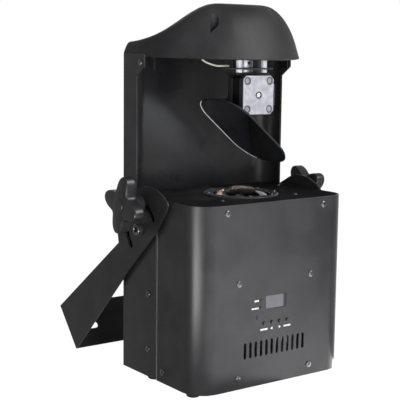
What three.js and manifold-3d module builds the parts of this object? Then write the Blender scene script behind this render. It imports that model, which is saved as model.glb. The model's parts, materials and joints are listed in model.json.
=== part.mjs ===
// LED scanner light: a fixed projector throws its beam up onto a mirror that pans and tilts under a hood.
// Millimetres, +Z up. X runs to the right as seen from the control panel, which faces -Y, and the column
// that carries the mirror head stands at +Y. Z is zero on the surface that the rubber feet stand on.

import * as THREE from 'three';
import { mergeVertices } from 'three/addons/utils/BufferGeometryUtils.js';
import Module from 'manifold-3d';

const wasm = await Module();
wasm.setup();

// Housing
const bodyWidth = 210;
const bodyDepth = 147;
const bodyHeight = 203;
const cornerRadius = 25;
const sheet = 1.5;
const fit = 0.3;
const seamY = 5;
const footHeight = 7;
const footRadius = 8.5;
const footSideInset = 15;
const footFrontInset = 27.5;
const footRearInset = 43.5;
const connectorDrop = 45;
const socketShares = [0.171, 0.533];
const inletShare = -0.495;
const fuseShare = -0.19;

// Column behind the mirror
const columnHeight = 157;
const flangeDepth = 26.5;
const tabDepth = 42;
const tabHeight = 14;
const tabChamfer = 11;
const linerSheet = 1;

// Optical axis, which is the pan axis too
const axisY = -bodyDepth * 0.0612;
const lensRadius = 34;
const lensSag = 12.7;
const lensEdge = 4;
const lensRingRadius = 43;
const lensRingHeight = 2.5;
const tubeWall = 3;

// Hood over the pan motor
const hoodDrop = 3.5;
const hoodRise = 55;
const hoodShelf = 12;
const hoodWall = 3;
const hoodFrontReach = bodyDepth * 0.619;
const hoodRimFall = 1.8;
const crownX = bodyWidth / 7;
const crownY = bodyDepth * 0.0136;
const crownFallX = bodyWidth * 0.676;
const crownFallY = bodyDepth * 0.925;
const rimStepLength = 7;
const bossShares = [[-0.438, -0.116], [0.571, 0.122]];
const bossRadius = 6.5;
const pocketRadius = 4.2;
const deckSheet = 2;

// Steppers of the mirror head, both of the 42 mm square kind
const motorSize = 42.3;
const panMotorLength = 20;
const tiltMotorLength = 26;
const motorChamfer = 4;
const shaftRadius = 2.5;
const bearingBossRadius = 11;

// Mirror
const mirrorWidth = 84;
const mirrorLength = 112;
const mirrorEndRadius = 32;
const mirrorGlass = 1.2;
const mirrorOffset = 1.2;
const mirrorBack = 1.5;
const mirrorSlope = 40;
const mirrorAxisHeight = 72;
const tiltAxisHeight = 113;

// Mounting bracket
const bracketSheet = 2;
const bracketGap = 3;
const bracketReach = 224.5;
const bracketWidth = 62;
const bracketAngle = -41.5;
const pivotY = 29.3;
const pivotHeight = bodyHeight * 0.823;
const slotRadius = 28.5;
const slotWidth = 7;
const slotStartAngle = -47;
const slotEndAngle = 150;
const boltRadius = 3;
const knobRadius = 33;
const knobTurns = [20, 55];
const knobThickness = 16;
const knobStandoff = 28;

// Control panel
const panelX = 1.2;
const displayWidth = 29;
const displayHeight = 15;
const displayZ = 99;
const buttonPitch = 11;
const buttonZ = 76;
const buttonRadius = 2;
const buttonProud = 1.6;
const buttonTravel = 0.8;
const ledOffset = -21.5;
const ledZ = 94.2;
const ledPitch = 8.1;
const ledRadius = 1.5;
const microphoneOffset = -26.6;
const microphoneZ = 83.5;
const microphoneArm = 3.6;
const microphoneHole = 0.75;
const ventCount = 12;
const ventPitch = 7.5;
const ventWidth = 3.5;
const ventHeight = 18.3;
const ventZ = 48.6;

// Cooling fan
const fanSize = 80;
const fanDepth = 25;
const fanZ = 62;
const fanBladeCount = 7;

// Optics inside the housing, from the heat sink up to the objective
const deckHalfX = bodyWidth * 0.286;
const deckFrontY = -bodyDepth * 0.395;
const deckFanGap = 3.9;
const deckRearY = bodyDepth / 2 - sheet - fanDepth - deckFanGap;
const opticsDeckZ = 60;
const upperDeckZ = 136;
const colourZ = 94;
const goboZ = 105;
const sinkWidth = 92;
const sinkDepth = 84;
const ledBoardRadius = 22;
const condenserRadius = 21;
const condenserHeight = 24;
const condenserLens = 17;
const colourMotorHeight = 22;
const goboMotorHeight = 20;
const wheelShaft = 12;

// Control board behind the panel
const boardGap = 9;
const boardHalfX = 38;
const boardThickness = 1.6;
const boardBelowButtons = 12;
const boardAboveDisplay = 22;
const switchSize = 6;
const switchDepth = 4.5;

// Wheels in the beam
const wheelRadius = 49;
const wheelOffset = 40;
const wheelThickness = 1.5;
const wheelHoleCount = 8;
const wheelHoleRadius = 11;
const wheelMotorRadius = 17.5;

// Heights worked out from the sizes above
const baseZ = footHeight;
const topZ = baseZ + bodyHeight;
const columnTopZ = topZ + columnHeight;
const frontY = -bodyDepth / 2;
const rearY = bodyDepth / 2;
const sideX = bodyWidth / 2;
const innerX = sideX - sheet;
const innerFrontY = frontY + sheet;
const innerRearY = rearY - sheet;
const floorZ = baseZ + sheet;
const hoodRimZ = columnTopZ - hoodDrop;
const hoodTopZ = columnTopZ + hoodRise;
const deckZ = hoodRimZ + fit;
const tiltZ = topZ + tiltAxisHeight;
const mirrorZ = topZ + mirrorAxisHeight;
const pivotZ = baseZ + pivotHeight;
const knobZ = pivotZ + slotRadius;
const slope = THREE.MathUtils.degToRad(mirrorSlope);
const overrun = 1;
const fineSegments = 28;
const coarseSegments = 16;
const smallSegments = 8;
const tipSegments = 6;
const smallRadius = 4;
const largeRadius = 30;

// Materials
const blackPaint = finish(0x4a4a4c, 0.5, 0.25);
const blackLiner = finish(0x3c3c3e, 0.45, 0.25);
const blackPlastic = finish(0x2b2b2d, 0.55, 0);
const hoodPlastic = finish(0x47474b, 0.5, 0);
const rubber = finish(0x161617, 0.9, 0);
const glass = finish(0xc9cfd4, 0.05, 0);
const mirrorFace = finish(0xd8dde0, 0.03, 1);
const aluminium = finish(0xc3c5c9, 0.35, 0.9);
const steel = finish(0x9a9da1, 0.35, 1);
const circuit = finish(0x1f5a35, 0.6, 0);
const whiteNylon = finish(0xeeeeec, 0.5, 0);
const screenGlass = finish(0x2f2d33, 0.1, 0);
const cablePvc = finish(0xb3ae9c, 0.6, 0);

// Segments of a full turn for a radius
function roundness(radius) {
  if (radius < smallRadius) return smallSegments;
  return radius < largeRadius ? coarseSegments : fineSegments;
}

function finish(color, roughness, metalness) {
  return new THREE.MeshStandardMaterial({ color, roughness, metalness });
}

// Solids: three.js shapes go in, joins and cuts are made, and a three.js geometry comes back out
function toSolid(geometry) {
  const bare = new THREE.BufferGeometry();
  bare.setAttribute('position', geometry.getAttribute('position'));
  if (geometry.index) bare.setIndex(geometry.index);
  const merged = mergeVertices(bare.index ? bare.toNonIndexed() : bare);
  const mesh = new wasm.Mesh({
    numProp: 3,
    vertProperties: new Float32Array(merged.getAttribute('position').array),
    triVerts: new Uint32Array(merged.index.array),
  });
  return new wasm.Manifold(mesh);
}

function toGeometry(solid) {
  const mesh = solid.getMesh();
  const geometry = new THREE.BufferGeometry();
  geometry.setAttribute('position', new THREE.BufferAttribute(new Float32Array(mesh.vertProperties), 3));
  geometry.setIndex(new THREE.BufferAttribute(new Uint32Array(mesh.triVerts), 1));
  geometry.computeVertexNormals();
  return geometry;
}

function join(first, ...others) {
  return others.reduce((whole, solid) => whole.add(solid), first);
}

function cut(first, ...others) {
  return others.reduce((whole, solid) => whole.subtract(solid), first);
}

// A block between two corners
function block(x0, x1, y0, y1, z0, z1) {
  const box = new THREE.BoxGeometry(x1 - x0, y1 - y0, z1 - z0);
  return toSolid(box.translate((x0 + x1) / 2, (y0 + y1) / 2, (z0 + z1) / 2));
}

// Turns a geometry made along +Z so that it runs along the named axis from the given point
function aim(geometry, axis, x, y, z) {
  if (axis === 'X') geometry.rotateY(Math.PI / 2);
  if (axis === 'Y') geometry.rotateX(-Math.PI / 2);
  return geometry.translate(x, y, z);
}

function rod(radius, length, axis, x, y, z, segments = roundness(radius)) {
  const cylinder = new THREE.CylinderGeometry(radius, radius, length, segments);
  cylinder.rotateX(Math.PI / 2).translate(0, 0, length / 2);
  return toSolid(aim(cylinder, axis, x, y, z));
}

// A profile of [radius, height] pairs turned round an axis
function turned(profile, axis, x, y, z) {
  const segments = roundness(Math.max(...profile.map(([radius]) => radius)));
  const points = profile.map(([radius, height]) => new THREE.Vector2(radius, height));
  const lathe = new THREE.LatheGeometry(points, segments).rotateX(Math.PI / 2);
  return toSolid(aim(lathe, axis, x, y, z));
}

// A flat outline given in a plane and thickened along the plane's normal, which is the missing axis
function slab(outline, thickness, plane, offset, holes = []) {
  const shape = new THREE.Shape(vectors(outline));
  shape.holes = holes.map((hole) => new THREE.Path(vectors(hole)));
  const geometry = new THREE.ExtrudeGeometry(shape, { depth: thickness, bevelEnabled: false });
  if (plane === 'XY') geometry.translate(0, 0, offset);
  if (plane === 'XZ') geometry.rotateX(Math.PI / 2).translate(0, offset + thickness, 0);
  if (plane === 'YZ') {
    const basis = new THREE.Matrix4().makeBasis(
      new THREE.Vector3(0, 1, 0), new THREE.Vector3(0, 0, 1), new THREE.Vector3(1, 0, 0));
    geometry.applyMatrix4(basis).translate(offset, 0, 0);
  }
  return toSolid(geometry);
}

function vectors(points) {
  return points.map(([x, y]) => new THREE.Vector2(x, y));
}

// Outlines are lists of points. An arc takes its share of the segments of a full turn.
function arc(x, y, radius, start, end, segments = roundness(radius)) {
  const steps = Math.max(2, Math.round(segments * Math.abs(end - start) / (2 * Math.PI)));
  return Array.from({ length: steps + 1 }, (_, i) => {
    const angle = start + (end - start) * i / steps;
    return [x + radius * Math.cos(angle), y + radius * Math.sin(angle)];
  });
}

function circle(x, y, radius, segments = roundness(radius)) {
  return arc(x, y, radius, 0, 2 * Math.PI, segments).slice(1);
}

function roundedRect(x0, x1, y0, y1, radius, segments = roundness(radius)) {
  return [
    ...arc(x1 - radius, y1 - radius, radius, 0, Math.PI / 2, segments),
    ...arc(x0 + radius, y1 - radius, radius, Math.PI / 2, Math.PI, segments),
    ...arc(x0 + radius, y0 + radius, radius, Math.PI, 1.5 * Math.PI, segments),
    ...arc(x1 - radius, y0 + radius, radius, 1.5 * Math.PI, 2 * Math.PI, segments),
  ];
}

// An upright slot with half-round ends
function slotOutline(x, y, width, height) {
  const reach = (height - width) / 2;
  return [
    ...arc(x, y + reach, width / 2, 0, Math.PI, tipSegments),
    ...arc(x, y - reach, width / 2, Math.PI, 2 * Math.PI, tipSegments),
  ];
}

// A slot bent round a centre, with half-round ends
function arcSlot(x, y, radius, width, start, end) {
  const half = width / 2;
  const tip = (angle) => [x + radius * Math.cos(angle), y + radius * Math.sin(angle)];
  return [
    ...arc(x, y, radius + half, start, end, fineSegments).slice(1),
    ...arc(...tip(end), half, end, end + Math.PI, tipSegments).slice(1),
    ...arc(x, y, radius - half, end, start, fineSegments).slice(1),
    ...arc(...tip(start), half, start + Math.PI, start + 2 * Math.PI, tipSegments).slice(1),
  ];
}

// The plan of the housing inside a wall of the given thickness: square at the rear, round at the front
function housingPlan(inset) {
  const x = sideX - inset;
  const front = frontY + inset;
  const rear = rearY - inset;
  const radius = cornerRadius - inset;
  return [
    [x, rear],
    [-x, rear],
    ...arc(-x + radius, front + radius, radius, Math.PI, 1.5 * Math.PI),
    ...arc(x - radius, front + radius, radius, 1.5 * Math.PI, 2 * Math.PI),
  ];
}

const scanner = new THREE.Group();

function piece(name, solid, material, parent = scanner) {
  const mesh = new THREE.Mesh(toGeometry(solid), material);
  mesh.name = name;
  parent.add(mesh);
  return mesh;
}

// Front cover: one sheet bent round the front corners, with the panel openings cut through it
function frontCover() {
  const wrap = (inset) => slab(housingPlan(inset), bodyHeight, 'XY', baseZ);
  const shell = cut(
    wrap(0),
    slab(housingPlan(sheet), bodyHeight + 2 * overrun, 'XY', baseZ - overrun),
    block(-sideX - overrun, sideX + overrun, seamY - fit, rearY + overrun, baseZ - overrun, topZ + overrun));
  const through = (outline) => slab(outline, sheet + 2 * overrun, 'XZ', frontY - overrun);
  const openings = [
    through(roundedRect(panelX - displayWidth / 2, panelX + displayWidth / 2, displayZ - displayHeight / 2,
      displayZ + displayHeight / 2, sheet)),
  ];
  for (const x of buttonXs()) openings.push(through(circle(x, buttonZ, buttonRadius + fit)));
  for (const row of [0, 1]) {
    openings.push(through(circle(panelX + ledOffset, ledZ + row * ledPitch, ledRadius + fit)));
  }
  for (const [dx, dz] of [[0, 0], [1, 0], [-1, 0], [0, 1], [0, -1]]) {
    const hole = circle(panelX + microphoneOffset + dx * microphoneArm / 2,
      microphoneZ + dz * microphoneArm / 2, microphoneHole, tipSegments);
    openings.push(through(hole));
  }
  for (let i = 0; i < ventCount; i += 1) {
    const x = (i - (ventCount - 1) / 2) * ventPitch;
    openings.push(through(slotOutline(x, ventZ, ventWidth, ventHeight)));
  }
  return cut(shell, ...openings);
}

function buttonXs() {
  return [-1.5, -0.5, 0.5, 1.5].map((step) => panelX + step * buttonPitch);
}

// Rear chassis: the back wall and its two folded sides, which rise behind the mirror as the column
const socketZ = topZ - connectorDrop;
const socketXs = socketShares.map((share) => share * sideX);
const socketRadius = 12;
const inletX = inletShare * sideX;
const inletWidth = 27.5;
const inletHeight = 20;
const fuseX = fuseShare * sideX;
const fuseRadius = 6;

function rearChassis() {
  const side = [
    [seamY + fit, baseZ], [rearY, baseZ], [rearY, columnTopZ], [rearY - tabDepth, columnTopZ],
    [rearY - tabDepth, columnTopZ - tabHeight], [rearY - flangeDepth, columnTopZ - tabHeight - tabChamfer],
    [rearY - flangeDepth, topZ], [seamY + fit, topZ],
  ];
  const wall = block(-sideX, sideX, innerRearY, rearY, baseZ, columnTopZ);
  const left = slab(side, sheet, 'YZ', -sideX);
  const right = slab(side, sheet, 'YZ', innerX);
  const through = (outline) => slab(outline, sheet + 2 * overrun, 'XZ', innerRearY - overrun);
  const openings = [
    ...socketXs.map((x) => through(circle(x, socketZ, socketRadius + fit))),
    through(roundedRect(inletX - inletWidth / 2 - fit, inletX + inletWidth / 2 + fit,
      socketZ - inletHeight / 2 - fit, socketZ + inletHeight / 2 + fit, sheet)),
    through(circle(fuseX, socketZ, fuseRadius + fit)),
    ...fanGrille().map(through),
  ];
  for (const x of [-sideX - overrun, innerX - overrun]) {
    for (const z of [pivotZ, knobZ]) {
      openings.push(rod(boltRadius + fit, sheet + 2 * overrun, 'X', x, pivotY, z));
    }
  }
  return cut(join(wall, left, right), ...openings);
}

// Arc slots in rings over the fan, with solid bars between them
function fanGrille() {
  const ringCount = 3;
  const slotsPerRing = 4;
  const barShare = 0.16;
  const innermostShare = 0.34;
  const ringStep = fanSize / 2 * (1 - innermostShare) / ringCount;
  const slots = [];
  for (let ring = 0; ring < ringCount; ring += 1) {
    const radius = fanSize / 2 * innermostShare + ringStep * (ring + 0.4);
    for (let i = 0; i < slotsPerRing; i += 1) {
      const start = (i + barShare) * 2 * Math.PI / slotsPerRing;
      const end = (i + 1 - barShare) * 2 * Math.PI / slotsPerRing;
      slots.push(arcSlot(0, fanZ, radius, ringStep * 0.55, start, end));
    }
  }
  return slots;
}

// Top plate with the round opening for the lens and a lip that the front cover screws to
function topPlate() {
  const lipDepth = 14;
  const plate = slab(housingPlan(sheet + fit), sheet, 'XY', topZ - sheet);
  const lipX = sideX - cornerRadius;
  const lip = block(-lipX, lipX, innerFrontY + fit, innerFrontY + fit + sheet,
    topZ - sheet - lipDepth, topZ - sheet / 2);
  const opening = rod(lensRadius + fit, sheet + 2 * overrun, 'Z', 0, axisY, topZ - sheet - overrun);
  return cut(join(plate, lip), opening);
}

function basePlate() {
  const screwHole = 2;
  const plate = slab(housingPlan(sheet + fit), sheet, 'XY', baseZ);
  return cut(plate, ...footCentres().map(([x, y]) =>
    rod(screwHole, sheet + 2 * overrun, 'Z', x, y, baseZ - overrun)));
}

function footCentres() {
  const x = sideX - footSideInset;
  return [frontY + footFrontInset, rearY - footRearInset].flatMap((y) => [[-x, y], [x, y]]);
}

function foot(x, y) {
  const taper = 1;
  const edge = 1.2;
  return turned([
    [0, 0], [footRadius - taper - edge, 0], [footRadius - taper, edge], [footRadius, footHeight],
    [0, footHeight],
  ], 'Z', x, y, 0);
}

// Liner that closes the inside of the column with a large bend in each corner
function columnLiner() {
  const slotX = -sideX * 0.62;
  const slotWidthHere = 3.4;
  const slotDrop = 15.5;
  const top = deckZ - fit;
  const bottom = topZ + fit;
  const bend = flangeDepth - sheet - fit;
  const plan = (inset) => {
    const x = innerX - fit - inset;
    const rear = innerRearY - fit - inset;
    const radius = bend - inset;
    const front = innerRearY - fit - bend - (inset > 0 ? overrun : 0);
    return [
      [-x, front],
      [x, front],
      ...arc(x - radius, rear - radius, radius, 0, Math.PI / 2),
      ...arc(-x + radius, rear - radius, radius, Math.PI / 2, Math.PI),
    ];
  };
  return cut(
    slab(plan(0), top - bottom, 'XY', bottom),
    slab(plan(linerSheet), top - bottom + 2 * overrun, 'XY', bottom - overrun),
    block(slotX - slotWidthHere / 2, slotX + slotWidthHere / 2, innerRearY - 2 * slotWidthHere, innerRearY,
      top - slotDrop, top + overrun));
}

// Deck that holds the pan motor, between the tabs of the column and under the hood
const bossPlaces = bossShares.map(([x, y]) => [x * sideX, y * bodyDepth]);

function panDeck() {
  const tongueShares = [[0.638, 0.034], [0.514, -0.15]];
  const noseX = motorSize / 2 + bossRadius;
  const noseY = axisY - motorSize / 2 - hoodWall;
  const tongues = tongueShares.map(([px, py]) => [px * sideX, py * bodyDepth]);
  const earDrop = 13;
  const x = innerX - fit;
  const rear = innerRearY - fit;
  const shoulder = rearY - tabDepth + fit;
  const half = [[x, rear], [x, shoulder], [tongues[0][0], shoulder], ...tongues, [noseX, noseY]];
  const outline = [...half, ...half.map(([px, py]) => [-px, py]).reverse()];
  const earFront = shoulder + deckSheet;
  const earRear = rearY - flangeDepth - fit;
  const ear = (side) => {
    const middle = side * (x - deckSheet / 2);
    return block(middle - deckSheet / 2, middle + deckSheet / 2, earFront, earRear, deckZ - earDrop,
      deckZ + deckSheet / 2);
  };
  return cut(
    join(slab(outline, deckSheet, 'XY', deckZ), ear(-1), ear(1)),
    rod(bearingBossRadius + fit, deckSheet + 2 * overrun, 'Z', 0, axisY, deckZ - overrun));
}

// Hood: rings that start on the plan outline and climb to the crown, low over the column and high in front.
// The left and right sides meet the column flush, and the front is half an ellipse.
const rimStepRear = rearY - tabDepth - fit;
const rimStepFront = rimStepRear - rimStepLength;

function hoodOutline(inset) {
  const frontSteps = 22;
  const sideSteps = 2;
  const rearSteps = 8;
  const a = sideX - inset;
  const b = hoodFrontReach - inset;
  const arcY = rearY - flangeDepth;
  const rear = rearY - inset;
  const angleAt = (y) => Math.asin((arcY - y) / b);
  const stepAngles = [0, angleAt(rimStepRear), angleAt(rimStepFront)];
  const sweep = Math.PI - 2 * stepAngles[2];
  const angles = [
    ...stepAngles,
    ...Array.from({ length: frontSteps - 1 }, (_, i) => stepAngles[2] + sweep * (i + 1) / frontSteps),
    ...stepAngles.map((angle) => Math.PI - angle).reverse(),
  ];
  const points = angles.map((angle) => [-a * Math.cos(angle), arcY - b * Math.sin(angle)]);
  for (let i = 1; i <= sideSteps; i += 1) points.push([a, arcY + (rear - arcY) * i / sideSteps]);
  for (let i = 1; i <= rearSteps; i += 1) points.push([a - 2 * a * i / rearSteps, rear]);
  for (let i = 1; i < sideSteps; i += 1) points.push([-a, rear - (rear - arcY) * i / sideSteps]);
  return points;
}

// The rim drops a step in front of the column tabs and then falls slightly to the front
function hoodRim(y) {
  const nearly = rimStepLength / 1000;
  const share = THREE.MathUtils.clamp((y + nearly - rimStepFront) / rimStepLength, 0, 1);
  const fall = Math.max(0, (rimStepFront - y) / (rimStepFront - rearY + flangeDepth + hoodFrontReach));
  return hoodRimZ + (hoodDrop + fit) * share - hoodRimFall * fall;
}

// Height of the crown over a point: a plateau over the pan motor that falls away to a shelf over the column
function hoodCrown(x, y) {
  const steepness = 2.6;
  const dx = Math.max(0, Math.abs(x) - crownX) / crownFallX;
  const dy = Math.max(0, y - crownY) / crownFallY;
  const bell = ((1 + Math.cos(Math.PI * Math.min(1, Math.hypot(dx, dy)))) / 2) ** steepness;
  return columnTopZ + hoodShelf + (hoodRise - hoodShelf) * bell;
}

// Share of the climb reached at a share of the way in: a drafted wall, then a round shoulder
function hoodClimb(share) {
  const wallShare = 0.26;
  const wallClimbShare = 0.48;
  const roundness = 2.4;
  if (share <= wallShare) return wallClimbShare * share / wallShare;
  const rest = Math.min(1, (share - wallShare) / (1 - wallShare));
  return wallClimbShare + (1 - wallClimbShare) * (1 - (1 - rest) ** roundness);
}

function hoodRings(inset, ringShares) {
  const shoulderShare = 0.66;
  return ringShares.map((share) => hoodOutline(inset).map(([x, y]) => {
    const toX = THREE.MathUtils.clamp(x, -crownX, crownX);
    const px = x + (toX - x) * share;
    const py = y + (crownY - y) * share;
    const way = Math.hypot(px - x, py - y);
    const rim = hoodRim(y);
    const climb = hoodCrown(px, py) - inset - rim;
    return [px, py, rim + climb * hoodClimb(way / (shoulderShare * climb))];
  }));
}

function hood() {
  const outer = hoodRings(0, [0, 0.04, 0.1, 0.18, 0.27, 0.37, 0.48, 0.62, 0.8, 0.95]);
  const inner = hoodRings(hoodWall, [0, 0.04, 0.1, 0.18, 0.27, 0.37, 0.55, 0.8]);
  const count = outer[0].length;
  const vertices = [];
  const addRing = (ring) => {
    const first = vertices.length;
    vertices.push(...ring);
    return first;
  };
  const outerStarts = outer.map(addRing);
  const outerTip = vertices.push([0, crownY, hoodTopZ]) - 1;
  const innerStarts = inner.map(addRing);
  const innerTip = vertices.push([0, crownY, hoodTopZ - hoodWall]) - 1;
  const faces = [];
  const bridge = (low, high) => {
    for (let i = 0; i < count; i += 1) {
      const j = (i + 1) % count;
      faces.push(low + i, low + j, high + j, low + i, high + j, high + i);
    }
  };
  for (let r = 1; r < outerStarts.length; r += 1) bridge(outerStarts[r - 1], outerStarts[r]);
  for (let r = 1; r < innerStarts.length; r += 1) bridge(innerStarts[r], innerStarts[r - 1]);
  bridge(innerStarts[0], outerStarts[0]);
  for (let i = 0; i < count; i += 1) {
    const j = (i + 1) % count;
    faces.push(outerStarts.at(-1) + i, outerStarts.at(-1) + j, outerTip);
    faces.push(innerStarts.at(-1) + j, innerStarts.at(-1) + i, innerTip);
  }
  const geometry = new THREE.BufferGeometry();
  geometry.setAttribute('position', new THREE.Float32BufferAttribute(vertices.flat(), 3));
  geometry.setIndex(faces);
  const shell = toSolid(geometry);
  const pocketFloor = deckZ + deckSheet + fit + 2 * hoodWall;
  const bosses = bossPlaces.map(([x, y]) =>
    rod(bossRadius, hoodBossTop() - deckZ - deckSheet - fit, 'Z', x, y, deckZ + deckSheet + fit));
  const pockets = bossPlaces.map(([x, y]) =>
    rod(pocketRadius, hoodTopZ - pocketFloor, 'Z', x, y, pocketFloor));
  return cut(join(shell, ...bosses), ...pockets);
}

// A boss ends inside the thickness of the hood above it
function hoodBossTop() {
  const climbShare = 0.66;
  return hoodRimZ + (hoodTopZ - hoodRimZ) * climbShare;
}

// Square stepper: chamfered body, bearing boss and shaft hole, made with its mounting face at the origin
// and its body running away from the shaft side
function stepper(axis, length, direction) {
  const half = motorSize / 2;
  const c = motorChamfer;
  const outline = [
    [half - c, half], [-half + c, half], [-half, half - c], [-half, -half + c],
    [-half + c, -half], [half - c, -half], [half, -half + c], [half, half - c],
  ];
  const bossHeight = 2;
  const plane = axis === 'Z' ? 'XY' : 'XZ';
  const body = slab(outline, length, plane, direction > 0 ? -length : 0);
  const boss = rod(bearingBossRadius, bossHeight + overrun, axis,
    ...along(axis, direction > 0 ? -overrun : -bossHeight));
  const bore = rod(shaftRadius + fit, length + 4 * bossHeight, axis,
    ...along(axis, direction > 0 ? -length - 2 * bossHeight : -2 * bossHeight));
  return { shell: join(body, boss), bore };
}

function along(axis, distance) {
  return axis === 'Z' ? [0, 0, distance] : [0, distance, 0];
}

// Pan motor stands on the deck with its shaft down
function panMotor() {
  const { shell, bore } = stepper('Z', panMotorLength, -1);
  return cut(shell, bore);
}

// Parts that turn with the pan shaft are built round the pan axis. The hub hangs from the shaft and reaches
// down through the disc and a spacer to the angle bracket that carries the tilt motor.
const hubRadius = 11;
const hubNeck = 8;
const hubHeight = 10;
const hubGap = 1.2;
const spacerHeight = 3.4;
const discRadius = 33;
const discSheet = 1.5;
const hubZ = deckZ - hubGap - hubHeight;
const discZ = hubZ - fit - discSheet;
const spacerZ = discZ - fit - spacerHeight;
const bracketTopZ = spacerZ - fit;
const headSheet = 2;
const postRadius = 3.75;
const postX = 17.4;
const postY = -15;
const tiltMotorFaceY = -2.5;
const stopPinRadius = 2;

function panHub() {
  const setScrew = 1.8;
  const bore = shaftRadius + fit;
  const neckLength = hubZ - bracketTopZ - fit;
  const body = turned([
    [bore, -neckLength], [hubNeck, -neckLength], [hubNeck, 0], [hubRadius, 0], [hubRadius, hubHeight],
    [bore, hubHeight], [bore, -neckLength],
  ], 'Z', 0, 0, 0);
  return cut(body, rod(setScrew, hubRadius, 'Y', 0, -hubRadius - overrun, hubHeight / 2));
}

function panDisc() {
  const notchAngle = 0.35;
  const notchDepth = 5;
  const postHoles = [-1, 1].map((side) => circle(side * postX, postY, postRadius + fit));
  const disc = slab(circle(0, 0, discRadius), discSheet, 'XY', 0,
    [...postHoles, circle(0, 0, hubNeck + fit)]);
  const notch = arcSlot(0, 0, discRadius, 2 * notchDepth, -notchAngle / 2, notchAngle / 2);
  return cut(disc, slab(notch, discSheet + 2 * overrun, 'XY', -overrun));
}

function panSpacer() {
  return slab(circle(0, 0, hubRadius), spacerHeight, 'XY', 0,
    [circle(0, 0, hubNeck + fit)]);
}

// Angle bracket: its top lies under the spacer, its web carries the tilt motor
function tiltBracket() {
  const halfX = motorSize / 2;
  const webCorner = 7;
  const topFront = postY - postRadius - sheet;
  const webEnd = tiltMotorFaceY + headSheet;
  const topX = halfX + headSheet;
  const top = slab(roundedRect(-topX, topX, topFront, webEnd + headSheet, headSheet), headSheet, 'XY',
    -headSheet);
  const drop = bracketTopZ - tiltZ + halfX;
  const web = slab(roundedRect(-halfX, halfX, -drop, webCorner - headSheet, webCorner), headSheet, 'XZ',
    tiltMotorFaceY, [circle(0, tiltZ - bracketTopZ, bearingBossRadius + fit)]);
  const aboveTop = block(-motorSize, motorSize, -motorSize, motorSize, 0, motorSize);
  return cut(join(top, web), aboveTop);
}

function stopPost() {
  return rod(postRadius, deckZ - bracketTopZ - 2 * fit, 'Z', 0, 0, 0);
}

// Fixed pin under the deck that the posts come up against
function stopPin() {
  return rod(stopPinRadius, deckZ - discZ - discSheet - 4 * fit, 'Z', 0, 0, 0);
}

// Tilt motor with the connector tab on its side
function tiltMotor() {
  const { shell, bore } = stepper('Y', tiltMotorLength, 1);
  const tabThickness = 4;
  const tabLength = 9;
  const tabWidth = 24;
  const tab = block(motorSize / 2 - overrun, motorSize / 2 + tabThickness, -tiltMotorLength + headSheet,
    -tiltMotorLength + headSheet + tabLength, -tabWidth / 2, tabWidth / 2);
  return cut(join(shell, tab), bore);
}

// Mirror parts are built round the tilt axis with the mirror level, reflecting face down, and then tilted
const mirrorDrop = (tiltZ - mirrorZ) * Math.cos(slope);
const mirrorShift = (tiltZ - mirrorZ) * Math.sin(slope) + mirrorOffset;
const armY = tiltMotorFaceY + headSheet + 2;

function mirrorOutline(inset) {
  const halfLength = mirrorLength / 2 - inset;
  const halfWidth = mirrorWidth / 2 - inset;
  return roundedRect(mirrorShift - halfLength, mirrorShift + halfLength, -halfWidth, halfWidth,
    mirrorEndRadius - inset);
}

function mirrorPlate() {
  return slab(mirrorOutline(0), mirrorGlass, 'XY', -mirrorDrop);
}

function mirrorHolder() {
  const plateInset = 1.5;
  const armThickness = 3;
  const hubWidth = 8;
  const collar = 8;
  const rootHalf = 20;
  const backZ = -mirrorDrop + mirrorGlass + fit;
  const back = slab(mirrorOutline(plateInset), mirrorBack, 'XY', backZ);
  const arm = [
    [-rootHalf, backZ + mirrorBack / 2], [rootHalf, backZ + mirrorBack / 2],
    ...arc(0, 0, collar, -Math.PI / 6, 7 * Math.PI / 6),
  ];
  const plate = slab(arm, armThickness, 'XZ', armY - armThickness / 2);
  const hub = rod(collar, hubWidth, 'Y', 0, armY - armThickness / 2, 0);
  const bore = rod(shaftRadius + fit / 2, hubWidth * 3, 'Y', 0, armY - hubWidth, 0);
  return cut(join(back, plate, hub), bore);
}

// Optics frame: two decks on a web that stands in front of the fan
function opticsFrame() {
  const t = deckSheet;
  const footLength = 10;
  const lower = block(-deckHalfX, deckHalfX, deckFrontY, deckRearY, opticsDeckZ - t, opticsDeckZ);
  const upper = block(-deckHalfX, deckHalfX, deckFrontY, deckRearY, upperDeckZ - t, upperDeckZ);
  const web = block(-deckHalfX, deckHalfX, deckRearY - t, deckRearY, floorZ, upperDeckZ - t / 2);
  const flange = block(-deckHalfX, deckHalfX, deckRearY - footLength, deckRearY, floorZ, floorZ + t);
  const windowRadius = fanSize / 2 - t;
  const windows = [
    rod(windowRadius, t + 2 * overrun, 'Y', 0, deckRearY - t - overrun, fanZ, coarseSegments),
    rod(ledBoardRadius + fit, t + 2 * overrun, 'Z', 0, axisY, opticsDeckZ - t - overrun, coarseSegments),
    rod(lensRadius - tubeWall, t + 2 * overrun, 'Z', 0, axisY, upperDeckZ - t - overrun, coarseSegments),
  ];
  return cut(join(lower, upper, web, flange), ...windows);
}

// Heat sink: a base with fins below it, under the light source
function heatSink() {
  const finCount = 12;
  const finThickness = 2;
  const baseThickness = 8;
  const finBottom = floorZ + 4;
  const top = opticsDeckZ - deckSheet;
  const y0 = axisY - sinkDepth / 2;
  const y1 = y0 + sinkDepth;
  const base = block(-sinkWidth / 2, sinkWidth / 2, y0, y1, top - baseThickness, top);
  const pitch = (sinkWidth - finThickness) / (finCount - 1);
  const fins = [];
  for (let i = 0; i < finCount; i += 1) {
    const x = -sinkWidth / 2 + i * pitch;
    fins.push(block(x, x + finThickness, y0, y1, finBottom, top - baseThickness / 2));
  }
  return join(base, ...fins);
}

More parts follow.
